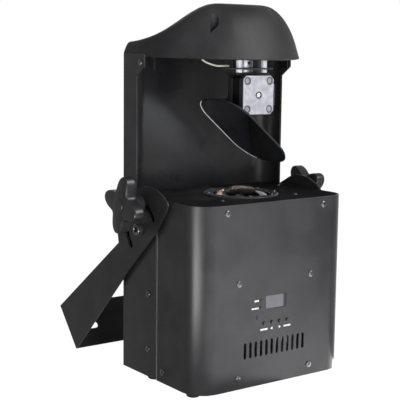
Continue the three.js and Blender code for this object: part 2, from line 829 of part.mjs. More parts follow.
function ledBoard() {
  const emitterSize = 13;
  const emitterHeight = 2;
  const z = opticsDeckZ - deckSheet;
  return join(
    rod(ledBoardRadius, boardThickness, 'Z', 0, axisY, z),
    block(-emitterSize / 2, emitterSize / 2, axisY - emitterSize / 2, axisY + emitterSize / 2,
      z + boardThickness / 2, z + boardThickness + emitterHeight));
}

// Condenser: a short tube that stands on the deck, with its lens in a step near the top
function condenserTube() {
  const stepDepth = 9;
  const flange = 2;
  const bore = condenserLens - 2;
  return turned([
    [bore, 0], [condenserRadius + flange / 2, 0], [condenserRadius + flange / 2, sheet],
    [condenserRadius - sheet, sheet], [condenserRadius - sheet, condenserHeight],
    [condenserLens + fit, condenserHeight],
    [condenserLens + fit, condenserHeight - stepDepth], [bore, condenserHeight - stepDepth], [bore, 0],
  ], 'Z', 0, axisY, opticsDeckZ);
}

function condenserGlass() {
  const stepDepth = 9;
  const edge = 2;
  const sag = 6;
  return domed(condenserLens, edge, sag, 4, opticsDeckZ + condenserHeight - stepDepth);
}

// A plano-convex lens: flat below, a shallow dome above
function domed(radius, edge, sag, steps, z) {
  const sphere = (radius * radius + sag * sag) / (2 * sag);
  const profile = [[0, 0], [radius, 0]];
  for (let i = 0; i <= steps; i += 1) {
    const r = radius * (1 - i / steps);
    profile.push([r, edge + sag - sphere + Math.sqrt(sphere * sphere - r * r)]);
  }
  return turned(profile, 'Z', 0, axisY, z);
}

// Wheels: discs with a ring of apertures that pass over the beam
function beamWheel(direction) {
  const hubThickness = 6;
  const hub = 8;
  const disc = rod(wheelRadius, wheelThickness, 'Z', 0, 0, 0);
  const below = direction > 0 ? 0 : wheelThickness - hubThickness;
  const holes = [];
  for (let i = 0; i < wheelHoleCount; i += 1) {
    const angle = i * 2 * Math.PI / wheelHoleCount;
    holes.push(rod(wheelHoleRadius, wheelThickness + 2 * overrun, 'Z', wheelOffset * 0.9 * Math.cos(angle),
      wheelOffset * 0.9 * Math.sin(angle), -overrun, smallSegments));
  }
  return cut(join(disc, rod(hub, hubThickness, 'Z', 0, 0, below)), ...holes,
    rod(shaftRadius - sheet / 2, hubThickness * 3, 'Z', 0, 0, -hubThickness));
}

// Small round stepper with its shaft
function wheelMotor(height, shaftLength, direction) {
  const body = rod(wheelMotorRadius, height, 'Z', 0, 0, direction > 0 ? 0 : -height);
  const shaft = rod(shaftRadius - sheet / 2 - fit, height + shaftLength, 'Z', 0, 0,
    direction > 0 ? 0 : -height - shaftLength);
  return join(body, shaft);
}

// Objective: the tube stands on the upper deck and its top step holds the lens
function lensTube() {
  const flange = 4;
  const top = topZ - sheet - fit;
  const height = top - upperDeckZ;
  const seat = lensSeatZ() - upperDeckZ;
  const outer = lensRadius + tubeWall;
  const bore = lensRadius - tubeWall;
  return turned([
    [bore, 0], [outer + flange, 0], [outer + flange, deckSheet], [outer, deckSheet], [outer, height],
    [lensRadius + fit, height], [lensRadius + fit, seat], [bore, seat], [bore, 0],
  ], 'Z', 0, axisY, upperDeckZ);
}

function lensSeatZ() {
  return topZ - 2 * sheet - lensEdge;
}

function objectiveLens() {
  return domed(lensRadius, lensEdge, lensSag, 6, lensSeatZ());
}

function lensRing() {
  const lip = 1.5;
  const edge = 1;
  const bore = lensRadius - lip;
  return turned([
    [bore, 0], [lensRingRadius, 0], [lensRingRadius, lensRingHeight - edge],
    [lensRingRadius - edge, lensRingHeight], [bore + 2 * lip, lensRingHeight], [bore, lip], [bore, 0],
  ], 'Z', 0, axisY, topZ);
}

// Fan behind the rear grille
const fanBore = 37.5;
const fanHub = 16;

function fanFrame() {
  const y0 = innerRearY - fanDepth - fit;
  const half = fanSize / 2;
  const rounding = 5;
  const strutWidth = 4;
  const strutThickness = 3;
  const motorCup = fanHub - sheet;
  const outline = roundedRect(-half, half, fanZ - half, fanZ + half, rounding);
  const strut = (angle) => {
    const bar = new THREE.BoxGeometry(strutWidth, strutThickness, 2 * fanBore + rounding);
    bar.rotateY(angle);
    return toSolid(bar.translate(0, y0 + strutThickness / 2, fanZ));
  };
  return join(
    slab(outline, fanDepth, 'XZ', y0, [circle(0, fanZ, fanBore)]),
    strut(Math.PI / 4),
    strut(-Math.PI / 4),
    rod(motorCup, strutThickness, 'Y', 0, y0, fanZ),
    rod(shaftRadius - sheet / 2, fanDepth / 2, 'Y', 0, y0, fanZ));
}

function fanRotor() {
  const depth = 17;
  const bladeThickness = 1.6;
  const pitchAngle = 0.75;
  const tipGap = 1.2;
  const bladeChord = 23;
  const hub = turned([
    [shaftRadius - sheet / 2 + fit, 0], [fanHub, 0], [fanHub, depth], [shaftRadius - sheet / 2 + fit, depth],
    [shaftRadius - sheet / 2 + fit, 0],
  ], 'Y', 0, 0, 0);
  // The corners of a blade stay inside the bore
  const reach = Math.sqrt((fanBore - tipGap) ** 2 - bladeChord ** 2 / 4) - fanHub + sheet;
  const blades = [];
  for (let i = 0; i < fanBladeCount; i += 1) {
    const blade = new THREE.BoxGeometry(bladeChord, bladeThickness, reach);
    blade.rotateZ(pitchAngle);
    blade.translate(0, depth / 2, fanHub - sheet + reach / 2);
    blade.rotateY(i * 2 * Math.PI / fanBladeCount);
    blades.push(toSolid(blade));
  }
  return cut(join(hub, ...blades), rod(shaftRadius - sheet / 2 + fit, depth * 3, 'Y', 0, -depth, 0));
}

// Electronics
function powerSupply() {
  const x0 = -innerX + 5;
  const x1 = -deckHalfX - 3;
  const y0 = deckFrontY;
  const y1 = deckRearY - 6;
  const height = 44;
  const slotCount = 6;
  const slotWidthHere = 3;
  const terminal = 10;
  const cage = cut(
    block(x0, x1, y0, y1, floorZ, floorZ + height),
    block(x0 + sheet, x1 - sheet, y0 + sheet, y1 + overrun, floorZ + sheet, floorZ + height - sheet),
    ...Array.from({ length: slotCount }, (_, i) => block(x0 + terminal, x1 - terminal,
      y0 + (i + 1) * (y1 - y0) / (slotCount + 1), y0 + (i + 1) * (y1 - y0) / (slotCount + 1) + slotWidthHere,
      floorZ + height - 2 * sheet, floorZ + height + overrun)));
  const core = block(x0 + terminal / 2, x1 - terminal / 2, y0 + terminal, y1 - terminal, floorZ + sheet / 2,
    floorZ + height * 0.7);
  return join(cage, core);
}

function driverBoard() {
  const x0 = deckHalfX + 3;
  const x1 = innerX - 5;
  const y0 = deckFrontY;
  const y1 = deckRearY - 6;
  const standoff = 5;
  const thickness = 1.6;
  const inset = 6;
  const z = floorZ + standoff;
  const stand = [[x0 + inset, y0 + inset], [x1 - inset, y0 + inset], [x0 + inset, y1 - inset],
    [x1 - inset, y1 - inset]]
    .map(([x, y]) => rod(standoff / 2, standoff + thickness / 2, 'Z', x, y, floorZ));
  const parts = [0.25, 0.5, 0.75].map((share) =>
    rod(inset, inset * 3, 'Z', (x0 + x1) / 2, y0 + (y1 - y0) * share, z + thickness / 2));
  const terminal = block(x0 + inset / 2, x1 - inset / 2, y1 - 1.6 * inset, y1 - inset * 0.2,
    z + thickness / 2, z + 2 * inset);
  return join(block(x0, x1, y0, y1, z, z + thickness), ...stand, ...parts, terminal);
}

// Control board behind the panel, with the switches and status lamps that reach the cover
const boardY = innerFrontY + boardGap;

function controlBoard() {
  const z0 = buttonZ - boardBelowButtons;
  const z1 = displayZ + boardAboveDisplay;
  const screwInset = 4;
  const board = block(-boardHalfX, boardHalfX, boardY, boardY + boardThickness, z0, z1);
  const stands = [[-1, z0 + screwInset], [1, z0 + screwInset], [-1, z1 - screwInset], [1, z1 - screwInset]]
    .map(([side, z]) => rod(screwInset / 2, boardY - innerFrontY - fit + boardThickness / 2, 'Y',
      side * (boardHalfX - screwInset), innerFrontY + fit, z));
  const switches = buttonXs().map((x) => block(x - switchSize / 2, x + switchSize / 2, boardY - switchDepth,
    boardY + boardThickness / 2, buttonZ - switchSize / 2, buttonZ + switchSize / 2));
  const lamps = [0, 1].map((row) => rod(ledRadius, boardY - frontY + boardThickness / 2 - sheet / 2, 'Y',
    panelX + ledOffset, frontY + sheet / 2, ledZ + row * ledPitch));
  return join(board, ...stands, ...switches, ...lamps);
}

function displayModule() {
  const border = 3;
  const gap = 2;
  return block(panelX - displayWidth / 2 - border / 2, panelX + displayWidth / 2 + border, innerFrontY + gap,
    boardY - fit, displayZ - displayHeight / 2 - border, displayZ + displayHeight / 2 + border);
}

function displayWindow() {
  const lip = 1.4;
  const lipThickness = 1;
  const outline = (growth) => roundedRect(
    panelX - displayWidth / 2 - growth, panelX + displayWidth / 2 + growth,
    displayZ - displayHeight / 2 - growth, displayZ + displayHeight / 2 + growth, sheet);
  return join(
    slab(outline(-fit), sheet, 'XZ', frontY + fit),
    slab(outline(lip), lipThickness, 'XZ', innerFrontY + fit));
}

// Button: a round cap that shows through the cover, with a collar that keeps it in
function pushButton() {
  const collar = 1;
  const collarThickness = 1;
  const length = boardY - switchDepth - fit - buttonTravel - frontY + buttonProud;
  const behind = buttonProud + sheet + fit;
  const edge = 0.4;
  return turned([
    [0, 0], [buttonRadius - edge, 0], [buttonRadius, edge], [buttonRadius, behind],
    [buttonRadius + collar, behind], [buttonRadius + collar, behind + collarThickness],
    [buttonRadius, behind + collarThickness], [buttonRadius, length], [0, length],
  ], 'Y', 0, -buttonProud, 0);
}

// Round data socket with its square flange; the flange lies on the outside of the rear wall
function dataSocket(male) {
  const flangeHalfX = 13;
  const flangeHalfZ = 15.5;
  const flangeThickness = 2;
  const barrelLength = 20;
  const cavity = 9.5;
  const cavityDepth = 13;
  const pinRadius = 1.2;
  const pinCircle = 4.5;
  const pinCount = 3;
  const flange = slab(roundedRect(-flangeHalfX, flangeHalfX, -flangeHalfZ, flangeHalfZ, flangeThickness),
    flangeThickness, 'XZ', 0);
  const barrel = rod(socketRadius, barrelLength + flangeThickness / 2, 'Y', 0, -barrelLength, 0);
  const pins = [];
  for (let i = 0; i < pinCount; i += 1) {
    const angle = Math.PI * (1.25 + i * 0.25);
    pins.push([pinCircle * Math.cos(angle), pinCircle * Math.sin(angle)]);
  }
  if (male) {
    const cup = cut(join(flange, barrel),
      rod(cavity, cavityDepth + overrun, 'Y', 0, flangeThickness - cavityDepth, 0));
    return join(cup, ...pins.map(([x, z]) => rod(pinRadius, cavityDepth, 'Y', x, -cavityDepth, z)));
  }
  return cut(join(flange, barrel),
    ...pins.map(([x, z]) =>
      rod(pinRadius, cavityDepth, 'Y', x, flangeThickness - cavityDepth + overrun, z)));
}

// Mains inlet: a shrouded recess with three flat blades
function powerInlet() {
  const flange = 4;
  const flangeThickness = 2.5;
  const depth = 22;
  const wall = 1.5;
  const recess = 15;
  const bladeWidth = 2;
  const bladeHeight = 4;
  const bladeSpacing = 7;
  const w = inletWidth / 2;
  const h = inletHeight / 2;
  const rim = slab(roundedRect(-w - flange, w + flange, -h - flange, h + flange, flange), flangeThickness,
    'XZ', 0);
  const body = slab(roundedRect(-w, w, -h, h, wall), depth + flangeThickness / 2, 'XZ', -depth);
  const hollow = slab(roundedRect(-w + wall, w - wall, -h + wall, h - wall, 2 * wall), recess + overrun,
    'XZ', flangeThickness - recess);
  const blade = (x, z) => block(x - bladeWidth / 2, x + bladeWidth / 2, -recess - overrun, 0,
    z - bladeHeight / 2, z + bladeHeight / 2);
  return join(cut(join(rim, body), hollow), blade(-bladeSpacing, -sheet), blade(bladeSpacing, -sheet),
    blade(0, bladeHeight / 2));
}

function fuseHolder() {
  const capRadius = 7.5;
  const capHeight = 6;
  const depth = 26;
  const slotDepth = 1.5;
  const slotWide = 1.6;
  const body = turned([
    [0, -depth], [fuseRadius, -depth], [fuseRadius, 0], [capRadius, 0], [capRadius, capHeight - sheet],
    [capRadius - sheet, capHeight], [0, capHeight],
  ], 'Y', 0, 0, 0);
  return cut(body, block(-capRadius, capRadius, capHeight - slotDepth, capHeight + overrun, -slotWide / 2,
    slotWide / 2));
}

// Mounting bracket, built round its pivot with the arms along +Y: two arms with an arc slot, and a crossbar
const bracketX = sideX + bracketGap;

// Arm outline in shares of the reach, along and across the arm, anticlockwise from the lower fold corner
const headShares = [
  [0.222, 0.064], [0.199, 0.104], [0.167, 0.136], [0.127, 0.166], [0.081, 0.184], [0.031, 0.191],
  [-0.022, 0.186], [-0.07, 0.175], [-0.121, 0.163], [-0.164, 0.146], [-0.215, 0.102], [-0.242, 0.069],
  [-0.271, 0.004], [-0.278, -0.037], [-0.274, -0.047], [-0.25, -0.06], [-0.147, -0.08], [-0.104, -0.088],
  [0.226, -0.094],
];

function armOutline() {
  const half = bracketWidth / 2;
  const head = headShares.map(([u, v]) => [u * bracketReach, v * bracketReach]);
  return [[bracketReach, -half], [bracketReach, half], ...head];
}

function mountingBracket() {
  const centreHole = 5;
  const sideSlotShare = 0.39;
  const sideSlotLength = 26;
  const sideSlotWidth = 10;
  const sideSlotDrop = 3;
  const safetyHole = 3;
  const safetyHoleShare = 0.11;
  const turn = -THREE.MathUtils.degToRad(bracketAngle);
  const slot = arcSlot(0, 0, slotRadius, slotWidth, THREE.MathUtils.degToRad(slotStartAngle) + turn,
    THREE.MathUtils.degToRad(slotEndAngle) + turn);
  const arm = (x) => cut(
    slab(armOutline(), bracketSheet, 'YZ', x),
    slab(slot, bracketSheet + 2 * overrun, 'YZ', x - overrun),
    rod(boltRadius + fit, bracketSheet + 2 * overrun, 'X', x - overrun, 0, 0));
  const outerX = bracketX + bracketSheet;
  const half = bracketWidth / 2;
  const crossbar = block(-outerX, outerX, bracketReach - bracketSheet, bracketReach, -half, half);
  const y = bracketReach - bracketSheet - overrun;
  const depth = bracketSheet + 2 * overrun;
  const slotAt = (side) => {
    const x = side * bodyWidth * sideSlotShare;
    const outline = roundedRect(x - sideSlotLength / 2, x + sideSlotLength / 2,
      -sideSlotWidth / 2 - sideSlotDrop, sideSlotWidth / 2 - sideSlotDrop, sideSlotWidth / 2);
    return slab(outline, depth, 'XZ', y);
  };
  return cut(join(arm(-outerX), arm(bracketX), crossbar),
    rod(centreHole, depth, 'Y', 0, y, 0), slotAt(-1), slotAt(1),
    ...[-1, 1].map((side) => rod(safetyHole, depth, 'Y', side * bodyWidth * safetyHoleShare, y, 0)));
}

// Pivot screw: head outside the arm, shoulder between arm and chassis, nut inside. Built along -X from the
// outer face of the chassis.
function pivotScrew() {
  const headRadius = 6.5;
  const headHeight = 6.5;
  const socket = 2.8;
  const socketDepth = 4;
  const shoulder = 8;
  const nutRadius = 5;
  const nutThickness = 4;
  const armOut = bracketGap + bracketSheet + fit;
  return turned([
    [0, -sheet - nutThickness], [nutRadius, -sheet - nutThickness], [nutRadius, -sheet],
    [boltRadius, -sheet], [boltRadius, 0], [shoulder, 0], [shoulder, bracketGap - fit],
    [boltRadius, bracketGap - fit], [boltRadius, armOut], [headRadius, armOut],
    [headRadius, armOut + headHeight], [socket, armOut + headHeight],
    [socket, armOut + headHeight - socketDepth], [0, armOut + headHeight - socketDepth],
  ], 'Z', 0, 0, 0);
}

// Four-lobed hand knob on its bolt, built along +Z from the outer face of the chassis
function clampKnob() {
  const lobeCount = 4;
  const neckRadius = 10;
  const valleyRadius = 17;
  const collarRadius = 7;
  const edge = 1.6;
  const outer = bracketGap + bracketSheet + knobStandoff;
  const faceStart = outer - knobThickness;
  const steps = 9;
  const count = lobeCount * steps;
  const points = [];
  for (let i = 0; i < count; i += 1) {
    const angle = i * 2 * Math.PI / count;
    const swing = (1 + Math.cos(lobeCount * angle)) / 2;
    const radius = valleyRadius + (knobRadius - edge - valleyRadius) * swing ** 0.8;
    points.push([radius * Math.cos(angle), radius * Math.sin(angle)]);
  }
  const grip = new THREE.ExtrudeGeometry(new THREE.Shape(vectors(points)), {
    depth: knobThickness - 2 * edge, bevelThickness: edge, bevelSize: edge, bevelSegments: 1,
  }).translate(0, 0, faceStart + edge);
  const armFace = bracketGap + bracketSheet + fit;
  const neck = rod(neckRadius, faceStart + edge - armFace, 'Z', 0, 0, armFace);
  const bolt = rod(boltRadius, armFace + 2 * neckRadius, 'Z', 0, 0, -sheet - neckRadius / 2);
  const cap = rod(collarRadius, sheet, 'Z', 0, 0, outer - sheet / 2);
  return join(toSolid(grip), neck, bolt, cap);
}

// Cable of the tilt motor, from the deck under the hood down to the top of the disc. Its route is given by
// how far it lies outside the motor, how far below the deck and how far in front of the axis.
const cableRoute = [[34, 2.4, 0], [24.8, 6.6, 0], [14, 9.4, 1], [5, 9.6, 4], [0, 9.4, 6]];

function motorCable() {
  const cableRadius = 1.2;
  const sides = 8;
  const steps = 14;
  const inside = motorSize / 2 + 2 * cableRadius;
  const route = new THREE.CatmullRomCurve3(cableRoute
    .map(([out, down, ahead]) => new THREE.Vector3(-inside - out, axisY - ahead, deckZ - down)));
  const section = new THREE.Shape(vectors(circle(0, 0, cableRadius, sides)));
  return toSolid(new THREE.ExtrudeGeometry(section, { steps, extrudePath: route, bevelEnabled: false }));
}

// Housing
piece('front_cover', frontCover(), blackPaint);
piece('rear_chassis', rearChassis(), blackPaint);
piece('top_plate', topPlate(), blackPaint);
piece('base_plate', basePlate(), blackPaint);
piece('column_liner', columnLiner(), blackLiner);
piece('pan_deck', panDeck(), steel);
piece('hood', hood(), hoodPlastic);
footCentres().forEach(([x, y], i) => {
  const names = ['foot_front_left', 'foot_front_right', 'foot_rear_left', 'foot_rear_right'];
  piece(names[i], foot(x, y), rubber);
});

// Optics
piece('optics_frame', opticsFrame(), steel);
piece('heat_sink', heatSink(), aluminium);
piece('led_board', ledBoard(), whiteNylon);
piece('condenser_tube', condenserTube(), blackPlastic);
piece('condenser_lens', condenserGlass(), glass);
piece('colour_wheel_motor', wheelMotor(colourMotorHeight, wheelShaft, 1), steel)
  .position.set(-wheelOffset, axisY, opticsDeckZ);
piece('colour_wheel', beamWheel(-1), steel).position.set(-wheelOffset, axisY, colourZ);
piece('gobo_wheel_motor', wheelMotor(goboMotorHeight, wheelShaft, -1), steel)
  .position.set(wheelOffset, axisY, upperDeckZ - deckSheet);
piece('gobo_wheel', beamWheel(1), steel).position.set(wheelOffset, axisY, goboZ);
piece('lens_tube', lensTube(), blackPlastic);
piece('objective_lens', objectiveLens(), glass);
piece('lens_ring', lensRing(), blackPaint);

// Fan and electronics
piece('fan_frame', fanFrame(), blackPlastic);
piece('fan_rotor', fanRotor(), blackPlastic).position.set(0, innerRearY - fanDepth - fit + sheet * 3, fanZ);
piece('power_supply', powerSupply(), aluminium);
piece('driver_board', driverBoard(), circuit);
piece('control_board', controlBoard(), circuit);
piece('display_module', displayModule(), blackPlastic);
piece('display_window', displayWindow(), screenGlass);
buttonXs().forEach((x, i) => {
  piece(`button_${i + 1}`, pushButton(), blackPlastic).position.set(x, frontY, buttonZ);
});
piece('data_in_socket', dataSocket(true), blackPlastic).position.set(socketXs[0], rearY, socketZ);
piece('data_out_socket', dataSocket(false), blackPlastic).position.set(socketXs[1], rearY, socketZ);
piece('power_inlet', powerInlet(), blackPlastic).position.set(inletX, rearY, socketZ);
piece('fuse_holder', fuseHolder(), blackPlastic).position.set(fuseX, rearY, socketZ);

// Mirror head
piece('pan_motor', panMotor(), aluminium).position.set(0, axisY, deckZ + deckSheet);
const panHead = new THREE.Group();
panHead.position.set(0, axisY, 0);
scanner.add(panHead);
piece('pan_shaft', rod(shaftRadius, deckZ + panMotorLength - hubZ, 'Z', 0, 0, hubZ), steel, panHead);
piece('pan_hub', panHub(), aluminium, panHead).position.z = hubZ;
piece('pan_disc', panDisc(), aluminium, panHead).position.z = discZ;
piece('pan_spacer', panSpacer(), aluminium, panHead).position.z = spacerZ;
piece('tilt_bracket', tiltBracket(), blackPaint, panHead).position.z = bracketTopZ;
[-1, 1].forEach((side) => {
  const name = side < 0 ? 'stop_post_left' : 'stop_post_right';
  piece(name, stopPost(), whiteNylon, panHead).position.set(side * postX, postY, bracketTopZ + fit);
});
piece('tilt_motor', tiltMotor(), aluminium, panHead).position.set(0, tiltMotorFaceY, tiltZ);
const tiltHead = new THREE.Group();
tiltHead.position.set(0, 0, tiltZ);
tiltHead.rotation.y = slope;
panHead.add(tiltHead);
const tiltShaftLength = tiltMotorLength + armY - tiltMotorFaceY + 3 * headSheet;
piece('tilt_shaft', rod(shaftRadius, tiltShaftLength, 'Y', 0, tiltMotorFaceY - tiltMotorLength, 0),
  steel, tiltHead);
piece('mirror_holder', mirrorHolder(), blackPaint, tiltHead);
piece('mirror', mirrorPlate(), mirrorFace, tiltHead);
const stopPinX = -Math.hypot(postX, postY);
piece('pan_stop_pin', stopPin(), steel).position.set(stopPinX, axisY, discZ + discSheet + 4 * fit);
piece('motor_cable', motorCable(), cablePvc);

// Mounting bracket and its screws
const yoke = new THREE.Group();
yoke.position.set(0, pivotY, pivotZ);
yoke.rotation.x = THREE.MathUtils.degToRad(bracketAngle);
scanner.add(yoke);
piece('mounting_bracket', mountingBracket(), blackPaint, yoke);
[-1, 1].forEach((side) => {
  const name = side < 0 ? 'left' : 'right';
  const screw = piece(`pivot_screw_${name}`, pivotScrew(), steel);
  screw.position.set(side * sideX, pivotY, pivotZ);
  screw.rotation.y = side * Math.PI / 2;
  const knob = piece(`knob_${name}`, clampKnob(), blackPlastic);
  knob.position.set(side * sideX, pivotY, knobZ);
  knob.rotation.set(THREE.MathUtils.degToRad(knobTurns[side < 0 ? 0 : 1]), side * Math.PI / 2, 0);
});

// The origin lies on the floor under the middle of the whole object
const bounds = new THREE.Box3().setFromObject(scanner, true);
scanner.position.y = -(bounds.min.y + bounds.max.y) / 2;

export default scanner;
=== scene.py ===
import json
from math import acos, asin, atan2, cos, hypot, pi, radians, sin, sqrt

import bmesh
import bpy
from bpy.props import FloatProperty, FloatVectorProperty, PointerProperty
from mathutils import Matrix, Vector

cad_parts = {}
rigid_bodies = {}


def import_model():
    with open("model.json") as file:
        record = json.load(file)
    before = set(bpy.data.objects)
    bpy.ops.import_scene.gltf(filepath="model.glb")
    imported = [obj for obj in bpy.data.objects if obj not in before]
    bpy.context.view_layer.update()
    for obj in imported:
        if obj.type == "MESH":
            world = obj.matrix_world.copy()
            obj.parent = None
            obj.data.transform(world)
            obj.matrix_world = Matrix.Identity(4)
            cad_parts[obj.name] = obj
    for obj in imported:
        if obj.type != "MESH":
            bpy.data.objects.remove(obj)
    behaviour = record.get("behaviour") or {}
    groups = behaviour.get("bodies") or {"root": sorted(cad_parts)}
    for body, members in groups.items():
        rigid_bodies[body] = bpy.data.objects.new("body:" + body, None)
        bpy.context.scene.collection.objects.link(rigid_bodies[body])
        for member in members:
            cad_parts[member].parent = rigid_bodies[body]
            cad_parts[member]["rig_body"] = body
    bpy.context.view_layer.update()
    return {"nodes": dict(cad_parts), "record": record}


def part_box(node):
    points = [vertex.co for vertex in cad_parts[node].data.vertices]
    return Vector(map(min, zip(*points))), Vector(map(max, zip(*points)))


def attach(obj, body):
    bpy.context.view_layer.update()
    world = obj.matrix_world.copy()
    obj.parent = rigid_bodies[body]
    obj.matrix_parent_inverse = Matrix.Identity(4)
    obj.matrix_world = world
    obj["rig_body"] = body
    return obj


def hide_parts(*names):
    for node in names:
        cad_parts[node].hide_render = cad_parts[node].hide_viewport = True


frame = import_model()

bl_info = {
    "name": "LED scanner light",
    "version": (1, 0, 0),
    "blender": (4, 5, 0),
    "location": "View3D > Sidebar > Scanner",
    "description": "Dresses the packed frame of an LED scanner light",
    "category": "Object",
}

MM = 0.001
WELD = 1e-6
WHITE = (1, 1, 1, 1)
NODES = frame["nodes"]
BODY_OF = {name: node["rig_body"] for name, node in NODES.items()}
SLOT_OF = {row["node"]: row["material_slot"] for row in frame["record"]["subparts"]}
COVER_LOW, COVER_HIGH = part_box("front_cover")
CHASSIS_LOW, CHASSIS_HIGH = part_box("rear_chassis")
MIDDLE_Y = (COVER_LOW.y + CHASSIS_HIGH.y) / 2
TOP_Z = COVER_HIGH.z
SIDE_X = COVER_HIGH.x
FRONT, BACK, FLANK = -73.5, 73.5, 105  # the casing's faces, in millimetres from its middle
SIDES = (-1, 1)
UP, AHEAD, BEHIND = (0, 0, 1), (0, -1, 0), (0, 1, 0)


def at(x, y, z):
    """A point given in millimetres from the middle of the housing, in the frame's metres."""
    return Vector((x * MM, y * MM + MIDDLE_Y, z * MM))


def middle_of(node):
    low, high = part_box(node)
    return (low + high) / 2


def rgb(value):
    """A colour written as 0xRRGGBB, as Blender's linear RGBA."""
    parts = [(value >> shift & 255) / 255 for shift in (16, 8, 0)]
    return (*[p / 12.92 if p <= 0.04045 else ((p + 0.055) / 1.055) ** 2.4 for p in parts], 1.0)


# Sizes and colours that a user may change


class HousingSettings(bpy.types.PropertyGroup):
    """Rounding of the sheet metal and its paint."""
    edge: FloatProperty(
        name="Edge", description="Rounding of a cut sheet edge", default=0.0004, unit="LENGTH")
    seam_edge: FloatProperty(
        name="Seam edge", description="Rounding of the cover's rear edges", default=0.0012, unit="LENGTH")
    paint: FloatVectorProperty(
        name="Paint", description="Satin black of cover and chassis", size=4, default=rgb(0x2E2E30),
        subtype="COLOR")
    liner: FloatVectorProperty(
        name="Liner", description="Smoother black inside the column", size=4, default=rgb(0x151517),
        subtype="COLOR")


class HoodSettings(bpy.types.PropertyGroup):
    """Shape of the moulded hood, in the terms of its crown and rim."""
    wall: FloatProperty(
        name="Wall", description="Thickness of the moulding", default=0.003, unit="LENGTH")
    shelf: FloatProperty(
        name="Shelf", description="Height over the column's top", default=0.012, unit="LENGTH")
    reach: FloatProperty(
        name="Reach", description="Half length of the front ellipse", default=0.091, unit="LENGTH")
    colour: FloatVectorProperty(
        name="Colour", description="Textured black plastic", size=4, default=rgb(0x272729), subtype="COLOR")


class ScrewSettings(bpy.types.PropertyGroup):
    """Pan-head screws of the casing."""
    radius: FloatProperty(
        name="Head radius", description="Radius of a casing screw's head", default=0.0037, unit="LENGTH")
    height: FloatProperty(
        name="Head height", description="Height of a casing screw's head", default=0.0016, unit="LENGTH")
    colour: FloatVectorProperty(
        name="Colour", description="Black zinc of the screws", size=4, default=rgb(0x202021), subtype="COLOR")


class PanelSettings(bpy.types.PropertyGroup):
    """Printing on the control panel."""
    print_height: FloatProperty(
        name="Mark height", description="Height of a printed mark", default=0.0018, unit="LENGTH")
    print_depth: FloatProperty(
        name="Ink", description="How far the ink stands off the paint", default=0.00006, unit="LENGTH")
    ink: FloatVectorProperty(
        name="Ink colour", description="White screen print", size=4, default=rgb(0xF0F0EE), subtype="COLOR")
    screen: FloatVectorProperty(
        name="Screen", description="Unlit display behind its window", size=4, default=rgb(0x918F96),
        subtype="COLOR")


class StudioSettings(bpy.types.PropertyGroup):
    """Camera, lamps and floor."""
    camera: FloatVectorProperty(
        name="Camera", description="Where the camera stands", default=(-0.71957, -0.99712, 0.36732),
        subtype="TRANSLATION")
    azimuth: FloatProperty(
        name="Azimuth", description="Bearing of the camera round the object",
        default=radians(-35.857), subtype="ANGLE")
    pitch: FloatProperty(
        name="Pitch", description="How far the camera looks down", default=radians(8.041), subtype="ANGLE")
    roll: FloatProperty(
        name="Roll", description="Turn of the camera about its view", default=radians(0.6605),
        subtype="ANGLE")
    lens: FloatProperty(
        name="Lens", description="Focal length on a 36 mm sensor", default=93.276, subtype="DISTANCE_CAMERA")
    key: FloatProperty(
        name="Key", description="Power of the front lamp", default=24.0, unit="POWER")
    panel: FloatProperty(
        name="Panel", description="Power of the sheen lamp on the floor in front", default=44.0, unit="POWER")
    glow: FloatProperty(
        name="Glow", description="Power of the sheen lamp that the hood shows", default=58.0, unit="POWER")
    strip: FloatProperty(
        name="Strip", description="Power of the sheen lamp on the floor at the left", default=72.0,
        unit="POWER")
    floor: FloatVectorProperty(
        name="Floor", description="Pale studio floor", size=4, default=rgb(0xF4F4F4), subtype="COLOR")


# Shader maths


def operator(operation, swapped=False):
    """A Python operator that adds a maths node."""
    return lambda level, *others: level.maths(operation, *others, swapped=swapped)


class Level:
    """A number that varies over a surface, for shader maths written as plain Python."""

    def __init__(self, recipe, socket):
        self.recipe = recipe
        self.socket = socket

    def maths(self, operation, *others, swapped=False):
        operands = [self, *others]
        if swapped:
            operands.reverse()
        node = self.recipe.node("ShaderNodeMath", dict(enumerate(operands)), operation=operation)
        return Level(self.recipe, node.outputs[0])

    __add__ = __radd__ = operator("ADD")
    __mul__ = __rmul__ = operator("MULTIPLY")
    __sub__, __rsub__ = operator("SUBTRACT"), operator("SUBTRACT", swapped=True)
    __gt__, __lt__ = operator("GREATER_THAN"), operator("LESS_THAN")
    __abs__ = operator("ABSOLUTE")

    def between(self, low, high):
        return (self > low) * (self < high)

    def climb(self, low, high):
        """0 below low, 1 above high and a smooth step between them."""
        node = self.recipe.node(
            "ShaderNodeMapRange", {"Value": self, "From Min": low, "From Max": high},
            interpolation_type="SMOOTHSTEP")
        return Level(self.recipe, node.outputs[0])

    def wave(self, pitch):
        """A ripple from 0 to 1 along this number, once every pitch."""
        return ((self * (2 * pi / pitch)).maths("SINE") + 1) * 0.5


class Nodes:
    """Fills one node tree."""

    def __init__(self, tree):
        self.tree = tree
        tree.nodes.clear()

    def node(self, kind, inputs=None, **settings):
        made = self.tree.nodes.new(kind)
        for name, value in settings.items():
            setattr(made, name, value)
        for key, value in (inputs or {}).items():
            self.feed(made.inputs[key], value)
        return made

    def feed(self, socket, value):
        value = getattr(value, "socket", value)
        if isinstance(value, bpy.types.NodeSocket):
            self.tree.links.new(value, socket)
        else:
            socket.default_value = value

    def seen(self):
        """1 for rays that show the surroundings and 0 for those that carry their light."""
        rays = self.node("ShaderNodeLightPath").outputs
        share = Level(self, rays["Is Camera Ray"])
        for name in ("Is Glossy Ray", "Is Transmission Ray"):
            share = share.maths("MAXIMUM", rays[name])
        return share


